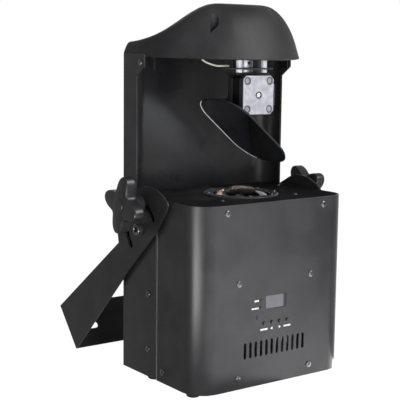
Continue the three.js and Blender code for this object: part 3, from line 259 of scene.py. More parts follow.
class Recipe(Nodes):
    """Builds one procedural material round a Principled shader."""

    def __init__(self, name, roughness=0.5, metallic=0.0, specular=0.5, **inputs):
        self.name = name
        self.material = bpy.data.materials.new(name.replace("_", " ").capitalize())
        self.material.use_nodes = True
        super().__init__(self.material.node_tree)
        self.shader = self.node("ShaderNodeBsdfPrincipled", {
            "Roughness": roughness, "Metallic": metallic, "Specular IOR Level": specular, **inputs})
        self.output = self.node("ShaderNodeOutputMaterial", {"Surface": self.shader.outputs[0]})
        self.place = self.node("ShaderNodeTexCoord").outputs["Object"]
        parts = self.node("ShaderNodeSeparateXYZ", {0: self.place})
        self.x, self.y, self.z = [Level(self, socket) for socket in parts.outputs]

    def set(self, **inputs):
        for name, value in inputs.items():
            self.feed(self.shader.inputs[name.replace("_", " ")], value)
        return self

    def vector_maths(self, operation, *operands):
        made = self.node("ShaderNodeVectorMath", dict(enumerate(operands)), operation=operation)
        return made.outputs["Value" if operation == "LENGTH" else "Vector"]

    def noise(self, size, detail=2.0, stretch=(1, 1, 1)):
        """Soft noise whose features are about that size."""
        scaled = self.vector_maths("MULTIPLY", self.place, [s / size for s in stretch])
        made = self.node("ShaderNodeTexNoise", {"Vector": scaled, "Scale": 1.0, "Detail": detail})
        return Level(self, made.outputs[0])

    def cells(self, size):
        made = self.node("ShaderNodeTexVoronoi", {"Vector": self.place, "Scale": 1 / size})
        return Level(self, made.outputs["Distance"])

    def mix(self, share, first, second):
        made = self.node("ShaderNodeMix", {0: share, 6: first, 7: second}, data_type="RGBA")
        return made.outputs[2]

    def relief(self, height, depth):
        made = self.node("ShaderNodeBump", {"Height": height, "Distance": depth, "Strength": 1.0})
        return self.set(Normal=made.outputs[0])

    def ring(self, centre, axis):
        """Distance from an axis through a point."""
        offset = self.vector_maths("SUBTRACT", self.place, centre)
        flat = self.vector_maths("MULTIPLY", offset, [0 if a == axis else 1 for a in "XYZ"])
        return Level(self, self.vector_maths("LENGTH", flat))


def paler(colour, share):
    """A colour moved a share of the way to white, or to black when the share is negative."""
    goal = 1.0 if share > 0 else 0.0
    return (*[c + (goal - c) * abs(share) for c in colour[:3]], 1.0)


def coated(name, colour, roughness, grain, depth, mottle=0.16, specular=0.5):
    """Paint or moulded plastic: a fine grain in relief, with a little mottling in colour and gloss."""
    made = Recipe(name, specular=specular)
    clouds = made.noise(0.04, 3)
    specks = made.noise(grain, 2)
    made.set(
        Base_Color=made.mix(clouds.climb(0.3, 0.7) * 0.6 + specks.climb(0.35, 0.75) * 0.4,
                            paler(colour, -mottle), paler(colour, mottle / 8)),
        Roughness=roughness - 0.05 + clouds.climb(0.3, 0.7) * 0.06 + specks * 0.06)
    return made.relief(specks, depth)


def bare_metal(name, colour, roughness, brush=(1, 1, 1), size=0.002):
    """Metal with a cast or brushed surface, the brush marks drawn out along one axis."""
    made = Recipe(name, metallic=1.0)
    marks = made.noise(size, 3, brush)
    clouds = made.noise(0.012, 2)
    made.set(
        Base_Color=made.mix(clouds.climb(0.3, 0.7), paler(colour, -0.14), colour),
        Roughness=roughness - 0.06 + marks * 0.12)
    return made.relief(marks, 0.00002)


def housing_paint(colours):
    """Satin black with a painted highlight: a pale line along the cover's rear edge, where its rounded edge
    catches light.
    """
    made = coated("housing_paint", colours.housing.paint, 0.3, 0.0009, 0.000012, specular=0.06)
    seam = COVER_HIGH.y - 0.0007
    # Painted highlight: this pale line at the sides stands in for light caught by the cover's rounded rear
    # edge.
    edge = abs(made.y - seam).climb(0.0015, 0.0008) * (abs(made.x) > SIDE_X - 0.003)
    paint_with_seam_highlight = made.mix(edge * 0.9, made.shader.inputs["Base Color"].links[0].from_socket, rgb(0xB4B4B2))
    return made.set(Base_Color=paint_with_seam_highlight)


def motor_shell(name, node, axis):
    """Stepper with cast caps and a stack of thin black laminations between them; the caps' sides are darkened
    as painted shade and only near their ends do they show bright metal.
    """
    made = Recipe(name, specular=0.04)
    along = getattr(made, axis)
    cuts = motor_cuts(node, axis)
    stack = along.between(*cuts)
    low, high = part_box(node)
    reach = (high["xyz".index(axis)] - low["xyz".index(axis)]) / 2
    cast = made.noise(0.0011, 3)
    clouds = made.noise(0.009, 2)
    # Painted shade: the caps get a dark grey on their sides, and only near each end do they show the bright
    # cast metal.
    face = abs(along - (cuts[1] + cuts[0]) / 2).climb(reach - 0.0011, reach - 0.0006)
    metal = made.mix(clouds.climb(0.3, 0.7), rgb(0xA2A3AA), rgb(0xC0C1C9))
    shell = made.mix(face, rgb(0x36373B), metal)
    made.set(
        Base_Color=made.mix(stack, shell, rgb(0x0D0D0E)),
        Roughness=0.5 + cast * 0.14 - stack * 0.06)
    return made.relief(cast * (1 - stack) * 0.3 + along.wave(0.0007) * stack, 0.00006)


def mirror_face():
    """Front-silvered glass whose sides are given a flat dark colour."""
    made = Recipe("mirror_face", metallic=1.0, roughness=0.02, specular=0.03)
    up = made.node("ShaderNodeSeparateXYZ", {0: made.node("ShaderNodeTexCoord").outputs["Normal"]})
    tilt = radians(40)
    facing = Level(made, up.outputs[0]) * sin(tilt) + Level(made, up.outputs[2]) * cos(tilt)
    face = abs(facing).climb(0.94, 0.99)
    haze = made.noise(0.03, 3)
    return made.set(
        Base_Color=made.mix(face, rgb(0x18191A), rgb(0xE4E6EA)),
        Metallic=face,
        Roughness=0.6 - face * 0.58 + face * haze.climb(0.4, 0.9) * 0.02)


def painted_glint():
    """A painted glint: a pale band that glows a little, though it is no lamp, in place of light reflected
    inside the mirror's glass.
    """
    made = Recipe("painted_glint", **{"Emission Color": WHITE, "Emission Strength": 0.25})
    return made.set(Base_Color=made.mix(made.noise(0.002, 2), rgb(0xC0C4C3), rgb(0xD6DAD9)))


def lens_glass(name, tint):
    """Clear glass with faint smears."""
    made = Recipe(name, **{"IOR": 1.5, "Transmission Weight": 1.0})
    smear = made.noise(0.02, 3)
    return made.set(Base_Color=made.mix(smear.climb(0.3, 0.8), tint, paler(tint, 0.3)),
                    Roughness=0.01 + smear.climb(0.5, 0.9) * 0.03)


def circuit_board():
    """Green board with tracks in relief and gilt pads."""
    made = Recipe("circuit_board", **{"Coat Weight": 0.3, "Coat Roughness": 0.2})
    tracks = made.noise(0.004, 0, (1, 0.2, 1)).climb(0.5, 0.52)
    pads = made.cells(0.007).climb(0.16, 0.12)
    return made.set(
        Base_Color=made.mix(pads, made.mix(tracks, rgb(0x17502E), rgb(0x226B40)), rgb(0xC9B36A)),
        Roughness=0.42 - pads * 0.15).relief(tracks, 0.00004)


def socket_body(name, pins, pin_radius):
    """Black moulded connector with pins of bright metal, found by the distance from their axes."""
    made = coated(name, rgb(0x1C1C1D), 0.42, 0.0006, 0.00002)
    base = made.shader.inputs["Base Color"].links[0].from_socket
    metal = 0
    for centre in pins:
        metal = (made.ring(centre, "Y") < pin_radius) + metal
    metal = metal.maths("MINIMUM", 1.0)
    inside = metal * (made.y < CHASSIS_HIGH.y + 0.001)
    return made.set(Base_Color=made.mix(inside, base, rgb(0xD8C07A)), Metallic=inside,
                    Roughness=0.42 - inside * 0.2)


def display_face(colours):
    """The display behind its smoked window: a pale field with a dark margin at the right."""
    made = Recipe("display_face", roughness=0.12, specular=0.03)
    low, high = at(-13.2, 0, 91.7), at(11.8, 0, 106.4)
    field = made.x.between(low.x, high.x) * made.z.between(low.z, high.z)
    dots = made.x.wave(0.0006) * made.z.wave(0.0006)
    darker, lighter = [paler(colours.panel.screen, share) for share in (-0.42, -0.34)]
    tone = made.mix(made.noise(0.012, 2).climb(0.3, 0.8), darker, lighter)
    return made.set(
        Base_Color=made.mix(field, rgb(0x3C3940), made.mix(dots * 0.12, tone, rgb(0x6F6D73))),
        Roughness=0.16 + field * 0.1)


# What each CAD node is made of, before the detailed pieces replace some of them
FINISHES = {
    "housing_paint": "front_cover rear_chassis base_plate lens_ring",
    # The top plate's finish is the housing paint darkened as painted shade.
    "shaded_top_paint": "top_plate",
    "bracket_paint": "mounting_bracket",
    "liner_paint": "column_liner",
    "inner_black": "tilt_bracket mirror_holder lens_tube condenser_tube pan_disc pan_stop_pin",
    "hood_plastic": "hood",
    "knob_plastic": "knob_left knob_right",
    "black_plastic": "fan_frame fan_rotor display_module fuse_holder button_1 button_2 button_3 button_4",
    "foot_rubber": "foot_front_left foot_front_right foot_rear_left foot_rear_right",
    "zinc_sheet": "optics_frame",
    "deck_paint": "pan_deck power_supply",
    "extruded_aluminium": "heat_sink",
    "turned_aluminium": "pan_hub pan_spacer",
    "spacer_metal": "stop_post_left stop_post_right",
    "shaft_steel": "pan_shaft tilt_shaft",
    "wheel_coating": "colour_wheel gobo_wheel",
    "motor_can": "colour_wheel_motor gobo_wheel_motor",
    "led_substrate": "led_board",
    "circuit_board": "driver_board control_board",
    "objective_glass": "objective_lens",
    "condenser_glass": "condenser_lens",
    "mirror_face": "mirror",
    "pan_motor_shell": "pan_motor",
    "tilt_motor_shell": "tilt_motor",
    "data_in_body": "data_in_socket",
    "data_out_body": "data_out_socket",
    "inlet_body": "power_inlet",
    "display_face": "display_window",
    "black_zinc": "pivot_screw_left pivot_screw_right",
    "cable_sheath": "motor_cable",
}


def motor_cuts(node, axis):
    """Where the lamination stack of a motor starts and ends along its axis."""
    rear_cap, front_cap, boss = 0.0075, 0.0056, 0.002
    low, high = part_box(node)
    index = "xyz".index(axis)
    return low[index] + rear_cap, high[index] - boss - front_cap


def pins_round(node, radius, angles):
    """Pins of a connector in the rear wall, on a circle round its middle."""
    return [middle_of(node) + Vector((radius * cos(a), 0, radius * sin(a))) for a in angles]


def make_finishes(colours):
    """Every material of the object, by name."""
    inlet_pins = pins_round("power_inlet", 0.007, (0, pi)) + pins_round("power_inlet", 0.002, (pi / 2,))
    black = rgb(0x1A1A1B)
    data_pins = [pi * (1.25 + i / 4) for i in range(3)]
    made = [
        housing_paint(colours),
        coated("bracket_paint", paler(colours.housing.paint, -0.2), 0.36, 0.0009, 0.00001, specular=0.05),
        # Painted shade: the top plate's satin black is made much darker than the same paint on the housing.
        coated("shaded_top_paint", rgb(0x131314), 0.6, 0.0009, 0.000012, specular=0.001),
        coated("liner_paint", colours.housing.liner, 0.28, 0.0012, 0.000004, mottle=0.04, specular=0.08),
        coated("inner_black", rgb(0x121213), 0.55, 0.0008, 0.00001, specular=0.08),
        coated("hood_plastic", colours.hood.colour, 0.5, 0.0007, 0.00002, specular=0.05),
        coated("knob_plastic", rgb(0x252527), 0.34, 0.0008, 0.000006, specular=0.08),
        coated("black_plastic", black, 0.4, 0.0008, 0.00002, specular=0.1),
        coated("foot_rubber", rgb(0x121213), 0.85, 0.0006, 0.00006, specular=0.3),
        bare_metal("zinc_sheet", rgb(0x8A8D90), 0.4, size=0.006),
        coated("deck_paint", rgb(0x141415), 0.5, 0.0008, 0.00001, specular=0.06),
        bare_metal("extruded_aluminium", rgb(0xBFC1C5), 0.4, (1, 0.03, 1), 0.0005),
        bare_metal("turned_aluminium", rgb(0x7E7F84), 0.4, (0.2, 0.2, 1), 0.0005),
        coated("spacer_metal", rgb(0xDADADE), 0.45, 0.0008, 0.000004, mottle=0.04, specular=0.4),
        bare_metal("shaft_steel", rgb(0xB9BABD), 0.25, (0.1, 1, 0.1), 0.0005),
        coated("wheel_coating", rgb(0x232325), 0.5, 0.0006, 0.00001),
        bare_metal("motor_can", rgb(0x9C9DA1), 0.36, size=0.001),
        coated("led_substrate", rgb(0xE8E8E4), 0.45, 0.001, 0.00001),
        circuit_board(),
        lens_glass("objective_glass", rgb(0xB8A598)),
        lens_glass("condenser_glass", rgb(0xF6F8F8)),
        mirror_face(),
        motor_shell("pan_motor_shell", "pan_motor", "z"),
        motor_shell("tilt_motor_shell", "tilt_motor", "y"),
        socket_body("data_in_body", pins_round("data_in_socket", 0.0045, data_pins), 0.0014),
        socket_body("data_out_body", pins_round("data_out_socket", 0.0045, data_pins), 0.0011),
        socket_body("inlet_body", inlet_pins, 0.0024),
        display_face(colours),
        coated("black_zinc", colours.screws.colour, 0.28, 0.001, 0.000006, specular=0.3),
        coated("dull_zinc", rgb(0x9C9DA4), 0.5, 0.0008, 0.000006, specular=0.08),
        coated("cable_sheath", rgb(0xA9A79C), 0.5, 0.001, 0.00002),
        coated("print_ink", colours.panel.ink, 0.5, 0.0004, 0.000005),
        coated("lamp_lens", rgb(0x0C0B0D), 0.2, 0.001, 0.000002, specular=0.15),
        painted_glint(),
    ]
    return {recipe.name: recipe.material for recipe in made}


MATERIALS = {}


# Modelling


def weld(bm):
    bmesh.ops.remove_doubles(bm, verts=bm.verts, dist=WELD)


def face_outwards(bm):
    bmesh.ops.recalc_face_normals(bm, faces=bm.faces)


def shift(bm, x, y, z):
    bmesh.ops.translate(bm, verts=bm.verts, vec=(x, y, z))


def lathe(bm, profile, steps):
    """Spins (radius, height) pairs about Z."""
    ring = [bm.verts.new((radius, 0, height)) for radius, height in profile]
    edges = [bm.edges.new(pair) for pair in zip(ring, ring[1:])]
    bmesh.ops.spin(bm, geom=ring + edges, cent=(0, 0, 0), axis=(0, 0, 1), angle=2 * pi,
                   steps=steps, use_merge=True)
    weld(bm)


def lift(bm, faces, way):
    """Extrudes faces and moves what grew."""
    grown = bmesh.ops.extrude_face_region(bm, geom=faces)["geom"]
    bmesh.ops.translate(bm, verts=[v for v in grown if isinstance(v, bmesh.types.BMVert)], vec=way)


def prism(outline, low, high):
    """Stands a flat outline up between two heights and closes both ends."""
    bm = bmesh.new()
    lift(bm, [bm.faces.new([bm.verts.new((x, y, low)) for x, y in outline])], (0, 0, high - low))
    return bm


def block(bm, size, middle):
    """Adds a box round a point."""
    made = bmesh.ops.create_cube(bm, size=1)["verts"]
    bmesh.ops.scale(bm, verts=made, vec=size)
    bmesh.ops.translate(bm, verts=made, vec=middle)


def loft(bm, rings, closed=False):
    """Skins a stack of rings, with a face in the first if closed, and gives the last ring's edges."""
    first, *others = rings
    ring = [bm.verts.new(place) for place in first]
    edges = [bm.edges.new(pair) for pair in zip(ring, ring[1:] + ring[:1])]
    if closed:
        bmesh.ops.contextual_create(bm, geom=edges)
    for places in others:
        grown = bmesh.ops.extrude_edge_only(bm, edges=edges)["geom"]
        edges = [e for e in grown if isinstance(e, bmesh.types.BMEdge)]
        below = set(ring)
        ring = [next(e.other_vert(v) for e in v.link_edges
                     if e.other_vert(v) not in below and e.other_vert(v).co == v.co) for v in ring]
        for vert, place in zip(ring, places):
            vert.co = place
    return edges


def turned(profile, steps):
    bm = bmesh.new()
    lathe(bm, profile, steps)
    return bm


def soften(bm, width, segments=2, chosen=None):
    """Bevels the edges that turn by more than 30 degrees."""
    sharp = radians(30)
    edges = [e for e in bm.edges if e.is_manifold and e.calc_face_angle() > sharp
             and (chosen is None or chosen(e))]
    if edges:
        bmesh.ops.bevel(bm, geom=edges, offset=width, segments=segments, profile=0.5, affect="EDGES",
                        material=-1, clamp_overlap=True)


def settle(bm, crease):
    """Merges, turns the faces outwards and marks what shades smooth."""
    weld(bm)
    face_outwards(bm)
    for face in bm.faces:
        face.smooth = True
    for edge in bm.edges:
        edge.smooth = not edge.is_manifold or edge.calc_face_angle() < crease


def to_object(name, bm):
    """Puts a bmesh in the scene as an object."""
    mesh = bpy.data.meshes.new(name)
    bm.to_mesh(mesh)
    bm.free()
    obj = bpy.data.objects.new(name, mesh)
    bpy.context.scene.collection.objects.link(obj)
    return obj


def piece(name, bm, material, body, slot=None, stands_for=(), weighted=False, crease=radians(38)):
    """Turns a bmesh into a finished piece that rides on a body."""
    settle(bm, crease)
    obj = to_object(name, bm)
    obj.data.materials.append(MATERIALS[material])
    if weighted:
        normals = obj.modifiers.new("Even shading", "WEIGHTED_NORMAL")
        normals.keep_sharp = True
    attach(obj, body)
    if stands_for:
        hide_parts(*stands_for)
    return obj


def copy_of(node):
    """A CAD node's mesh, merged and with its flat faces whole."""
    bm = bmesh.new()
    bm.from_mesh(NODES[node].data)
    weld(bm)
    bmesh.ops.dissolve_limit(bm, angle_limit=radians(0.5), verts=bm.verts, edges=bm.edges)
    return bm


def dress(node, width, segments=2, **more):
    """A softened copy of a CAD node that stands in its place."""
    bm = copy_of(node)
    soften(bm, width, segments)
    return stand_in(node, bm, weighted=True, **more)


def stand_in(node, bm, **more):
    """A finished piece that takes the place of a CAD node, in the same material."""
    material = next(name for name, nodes in FINISHES.items() if node in nodes.split())
    return piece(f"{node}_body", bm, material, BODY_OF[node], SLOT_OF[node], [node], **more)


def aimed(direction):
    """The turn that takes +Z to a direction, with +X kept level."""
    z = Vector(direction).normalized()
    x = Vector(UP).cross(z)
    x = Vector((1, 0, 0)) if x.length < WELD else x.normalized()
    return Matrix((x, z.cross(x), z)).transposed().to_4x4()


def apply_modifiers(obj):
    """Keeps what the modifiers make as the object's own mesh."""
    bpy.context.view_layer.update()
    solid = bpy.data.meshes.new_from_object(obj.evaluated_get(bpy.context.evaluated_depsgraph_get()))
    obj.modifiers.clear()
    obj.data = solid


def combine(obj, cutter, operation):
    """Joins or cuts one mesh with another and keeps the result."""
    step = obj.modifiers.new(operation.title(), "BOOLEAN")
    step.operation, step.solver, step.object = operation, "EXACT", cutter
    apply_modifiers(obj)
    bpy.data.objects.remove(cutter)


def loose(bm):
    """A helper object that never stays in the scene."""
    face_outwards(bm)
    return to_object("helper", bm)


def cut(obj, bm):
    combine(obj, loose(bm), "DIFFERENCE")


def absorb(obj):
    """A helper object's mesh as a bmesh, and the object gone."""
    bm = bmesh.new()
    bm.from_mesh(obj.data)
    bpy.data.objects.remove(obj)
    return bm


def screw_head(radius, height):
    """Domed head with a cross recess, its seat at the origin and its top along +Z."""
    head = loose(turned([
        (0, -height * 0.4), (radius * 0.5, -height * 0.4), (radius * 0.5, 0), (radius, 0),
        (radius, height * 0.35), (radius * 0.9, height * 0.7), (radius * 0.62, height * 0.93),
        (0, height)], 20))
    for turn in (0, pi / 2):
        bm = bmesh.new()
        block(bm, (radius * 1.15, radius * 0.26, height), (0, 0, height * 0.9))
        low = [v for v in bm.verts if v.co.z < height * 0.9]
        bmesh.ops.scale(bm, verts=low, vec=(0.45, 0.6, 1))
        bmesh.ops.rotate(bm, verts=bm.verts, cent=(0, 0, 0), matrix=Matrix.Rotation(turn, 3, "Z"))
        cut(head, bm)
    return absorb(head)


def socket_head(radius, height, key):
    """Cylinder head with a hexagon socket."""
    edge = radius * 0.08
    head = loose(turned([
        (0, 0), (radius - edge, 0), (radius, edge), (radius, height - edge), (radius - edge, height),
        (key * 1.2, height), (key * 1.05, height - edge), (0, height - edge)], 32))
    bm = bmesh.new()
    bmesh.ops.create_cone(bm, cap_ends=True, segments=6, radius1=key, radius2=key, depth=height)
    shift(bm, 0, 0, height * 0.9)
    cut(head, bm)
    return absorb(head)


def scatter(name, template, places, material="black_zinc", body="root", slot=None):
    """Copies a small part to many places as one piece. Each place is a point and a direction."""
    twist = 0.7
    stamp = bpy.data.meshes.new("stamp")
    template.to_mesh(stamp)
    template.free()
    bm = bmesh.new()
    for i, (point, direction) in enumerate(places):
        first = len(bm.verts)
        bm.from_mesh(stamp)
        bm.verts.ensure_lookup_table()
        new = bm.verts[first:]
        turn = Matrix.Translation(point) @ aimed(direction) @ Matrix.Rotation(twist * i, 4, "Z")
        bmesh.ops.transform(bm, matrix=turn, verts=new)
    bpy.data.meshes.remove(stamp)
    return piece(name, bm, material, body, slot, weighted=True)


def at_pivot(node, side, bm, turn=0.0):
    """Moves what is built along +Z to the bracket's pivot on one side."""
    middle = middle_of(node)
    middle.x = side * SIDE_X
    matrix = Matrix.Translation(middle) @ aimed((side, 0, 0)) @ Matrix.Rotation(turn, 4, "Z")
    bmesh.ops.transform(bm, matrix=matrix, verts=bm.verts)


# Operators


class Dresses(bpy.types.Operator):
    """Shared settings of the operators that make pieces."""
    bl_options = {"REGISTER", "UNDO"}


class FinishNodes(Dresses):
    """Gives every CAD node its procedural material"""
    bl_idname = "scanner.finish_nodes"
    bl_label = "Finish nodes"

    def execute(self, context):
        MATERIALS.update(make_finishes(context.scene.scanner))
        for material, members in FINISHES.items():
            for node in members.split():
                NODES[node].material_slots[0].material = MATERIALS[material]
        return {"FINISHED"}


class MakeHousing(Dresses):
    """Softens the sheet metal of the housing, the column and the bracket"""
    bl_idname = "scanner.make_housing"
    bl_label = "Housing"

    def execute(self, context):
        sizes = context.scene.scanner.housing
        bm = copy_of("front_cover")
        close = WELD * 10

        def at_seam(edge):
            return all(v.co.y > COVER_HIGH.y - close and abs(v.co.x) > SIDE_X - close for v in edge.verts)

        soften(bm, sizes.seam_edge, 3, chosen=at_seam)
        soften(bm, sizes.edge, 2)
        stand_in("front_cover", bm, weighted=True)
        for node in ("rear_chassis", "top_plate", "base_plate", "lens_ring"):
            dress(node, sizes.edge)
        dress("column_liner", sizes.edge / 2)
        dress("pan_deck", sizes.edge)
        dress("mounting_bracket", sizes.edge * 1.5)
        return {"FINISHED"}


HOOD_LOW, HOOD_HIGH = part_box("hood")
MOTOR_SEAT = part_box("pan_motor")[0].z
DECK_TOP = MOTOR_SEAT + 0.002
RIM_Z = MOTOR_SEAT - 0.0003
HOOD_SCREWS = (at(-46, -17, 0), at(60, 18, 0))
HOOD_POCKETS = ((HOOD_SCREWS[0], 0.0042, 0.0045), (HOOD_SCREWS[1], 0.0042, 0.0035))
CROWN = at(30, 2, 0)
COLUMN_TOP = CHASSIS_HIGH.z
RIM_STEP_REAR = at(0, 31.2, 0).y
RIM_STEP_LENGTH = 0.007


class MakeHood(Dresses):
    """Lofts the moulded hood from its plan and sinks its screw pockets"""
    bl_idname = "scanner.make_hood"
    bl_label = "Hood"

    def execute(self, context):
        sizes = context.scene.scanner.hood
        shell = loose(hood_surface(sizes, 0.0))
        wall = shell.modifiers.new("Wall", "SOLIDIFY")
        wall.thickness, wall.offset, wall.use_even_offset = sizes.wall, -1.0, True
        apply_modifiers(shell)
        seat, above = DECK_TOP + 0.008, HOOD_HIGH.z + 0.01
        for place in HOOD_POCKETS:
            core = loose(closed_hood(sizes))
            boss = loose(prism(pocket_plan(place, 0.002), DECK_TOP + 0.0003, above))
            combine(boss, core, "INTERSECT")
            combine(shell, boss, "UNION")
            cut(shell, prism(pocket_plan(place, 0.0), seat, above))
        bm = absorb(shell)
        weld(bm)
        piece("hood_shell", bm, "hood_plastic", BODY_OF["hood"], SLOT_OF["hood"], ["hood"],
              crease=radians(32))
        heads = [(Vector((p.x, p.y, seat)), UP) for p in HOOD_SCREWS]
        scatter("hood_screws", screw_head(0.003, 0.002), heads)
        return {"FINISHED"}


def pocket_plan(place, margin):
    """Teardrop in plan: round, with a point that runs out down the slope of the hood."""
    centre, radius, tip = place
    radius += margin
    away = Vector((centre.x, centre.y - CROWN.y)).normalized()
    heading = atan2(away.y, away.x)
    half = acos(radius / (radius + tip))
    steps = 18
    angles = [heading + half + (2 * pi - 2 * half) * i / steps for i in range(steps + 1)]
    point = (centre.x + away.x * (radius + tip), centre.y + away.y * (radius + tip))
    return [point] + [(centre.x + radius * cos(a), centre.y + radius * sin(a)) for a in angles]


def hood_plan(sizes, inset):
    """Points round the hood's rim: half an ellipse in front, straight sides and a straight rear."""
    front_steps, side_steps, rear_steps = 64, 8, 30
    straight = 0.0265
    a = SIDE_X - inset
    b = sizes.reach - inset
    arc_y = CHASSIS_HIGH.y - straight
    rear = CHASSIS_HIGH.y - inset
    first = asin((arc_y - RIM_STEP_REAR) / b)
    last = asin((arc_y - RIM_STEP_REAR + RIM_STEP_LENGTH) / b)
    sweep = pi - 2 * last
    start = [0, first, last]
    angles = start + [last + sweep * (i + 1) / front_steps for i in range(front_steps - 1)]
    angles += [pi - angle for angle in reversed(start)]
    points = [(-a * cos(angle), arc_y - b * sin(angle)) for angle in angles]
    depth = rear - arc_y
    points += [(a, arc_y + depth * (i + 1) / side_steps) for i in range(side_steps)]
    points += [(a - 2 * a * (i + 1) / rear_steps, rear) for i in range(rear_steps)]
    points += [(-a, rear - depth * (i + 1) / side_steps) for i in range(side_steps - 1)]
    return points


def hood_rim(y):
    """The rim steps down in front of the column and then falls slightly to the front."""
    step, droop = 0.0038, 0.0018
    front = RIM_STEP_REAR - RIM_STEP_LENGTH
    slack = RIM_STEP_LENGTH / 1000
    share = (y + slack - front) / RIM_STEP_LENGTH
    fall = max(0, (front - y) / (front - HOOD_LOW.y))
    return RIM_Z + step * min(1, max(0, share)) - droop * fall


def hood_crown(sizes, x, y):
    """A plateau over the pan motor that falls away to a low shelf over the column."""
    fall_x, fall_y, steepness = 0.142, 0.136, 2.6
    dx = max(0, abs(x) - CROWN.x) / fall_x
    dy = max(0, y - CROWN.y) / fall_y
    bell = ((1 + cos(pi * min(1, hypot(dx, dy)))) / 2) ** steepness
    return COLUMN_TOP + sizes.shelf + (HOOD_HIGH.z - COLUMN_TOP - sizes.shelf) * bell


def hood_climb(share):
    """A drafted wall, then a round shoulder."""
    wall, climbed, roundness = 0.26, 0.48, 2.4
    if share <= wall:
        return climbed * share / wall
    rest = min(1, (share - wall) / (1 - wall))
    return climbed + (1 - climbed) * (1 - (1 - rest) ** roundness)


def hood_ring(sizes, inset, share):
    """The rim drawn in towards the crown by a share of the way."""
    shoulder, ring = 0.66, []
    for x, y in hood_plan(sizes, inset):
        px = x + (min(CROWN.x, max(-CROWN.x, x)) - x) * share
        py = y + (CROWN.y - y) * share
        way = hypot(px - x, py - y)
        rim = hood_rim(y)
        climb = hood_crown(sizes, px, py) - inset - rim
        ring.append(Vector((px, py, rim + climb * hood_climb(way / (shoulder * climb)))))
    return ring


def hood_surface(sizes, inset):
    """Extrudes the rim edge ring by ring to the crown, and closes the top."""
    shares = [0, 0.012, 0.026, 0.042, 0.06, 0.08, 0.1, 0.125, 0.15, 0.175, 0.205, 0.24, 0.28, 0.32, 0.37,
              0.43, 0.5, 0.58, 0.67, 0.77, 0.87, 0.96]
    bm = bmesh.new()
    edges = loft(bm, [hood_ring(sizes, inset, share) for share in shares])
    cap = bmesh.ops.contextual_create(bm, geom=edges)["faces"]
    bmesh.ops.triangulate(bm, faces=cap)
    face_outwards(bm)
    return bm


def closed_hood(sizes):
    """The space under the hood, a little inside its outer face, to trim what joins it from below."""
    bm = hood_surface(sizes, 0.001)
    bmesh.ops.contextual_create(bm, geom=[e for e in bm.edges if e.is_boundary])
    face_outwards(bm)
    return bm


FRONT_SCREWS = ((67.5, 201.5), (50.9, 124), (50.9, 19.3))
SIDE_SCREWS = ((20.5, 101.9), (20.5, 38.8), (-9, 19.5), (39.2, 357))
REAR_SCREWS = ((96, 20), (96, 330), (30, 20))
TOP_SCREWS = ((-52, -43), (52, -43), (-88, 30), (88, 30))
RING_SCREW_RADIUS, FAN_SCREW, SOCKET_SCREW = 0.0387, 0.03575, Vector((0.0095, 0, 0.012))
TOP_HEAD, REAR_HEAD = (0.0023, 0.0014), (0.0027, 0.0016)


class AddScrews(Dresses):
    """Adds the screws of the casing, the column, the lens ring and the rear wall"""
    bl_idname = "scanner.add_screws"
    bl_label = "Screws"

    def execute(self, context):
        sizes = context.scene.scanner.screws
        places = [(at(side * x, FRONT, z), AHEAD) for x, z in FRONT_SCREWS for side in SIDES]
        places += [(at(side * FLANK, y, z), (side, 0, 0)) for y, z in SIDE_SCREWS for side in SIDES]
        places += [(at(side * x, BACK, z), BEHIND) for x, z in REAR_SCREWS for side in SIDES]
        scatter("casing_screws", screw_head(sizes.radius, sizes.height), places,
                slot=SLOT_OF["pivot_screw_left"])
        centre = middle_of("lens_ring")
        centre.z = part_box("lens_ring")[1].z
        angles = [(i + 0.5) * pi / 4 for i in range(8)]
        places = [(centre + RING_SCREW_RADIUS * Vector((cos(a), sin(a), 0)), UP) for a in angles]
        places += [(at(x, y, TOP_Z / MM), UP) for x, y in TOP_SCREWS]
        scatter("top_screws", screw_head(*TOP_HEAD), places)
        places = []
        for node in ("data_in_socket", "data_out_socket"):
            centre = middle_of(node)
            centre.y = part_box(node)[1].y
            places += [(centre + side * SOCKET_SCREW, BEHIND) for side in SIDES]
        centre = middle_of("fan_frame")
        centre.y = CHASSIS_HIGH.y
        places += [(centre + FAN_SCREW * Vector((across, 0, up)), BEHIND) for across in SIDES for up in SIDES]
        scatter("rear_screws", screw_head(*REAR_HEAD), places)
        return {"FINISHED"}


LAMPS_X, LAMPS_Z = -20.3, (102.3, 94.2)
WORDS_Z = 69.3
PANEL_MARKS = ((-26.3, LAMPS_Z[0], 3), (-28.2, LAMPS_Z[1], 5), (-15.4, WORDS_Z, 5), (17.7, WORDS_Z, 5))
MICROPHONE_DOTS = ((-24.3, 83.2), (-24.3, 87.2), (-24.3, 79.2), (-28.1, 83.2), (-20.5, 83.2))


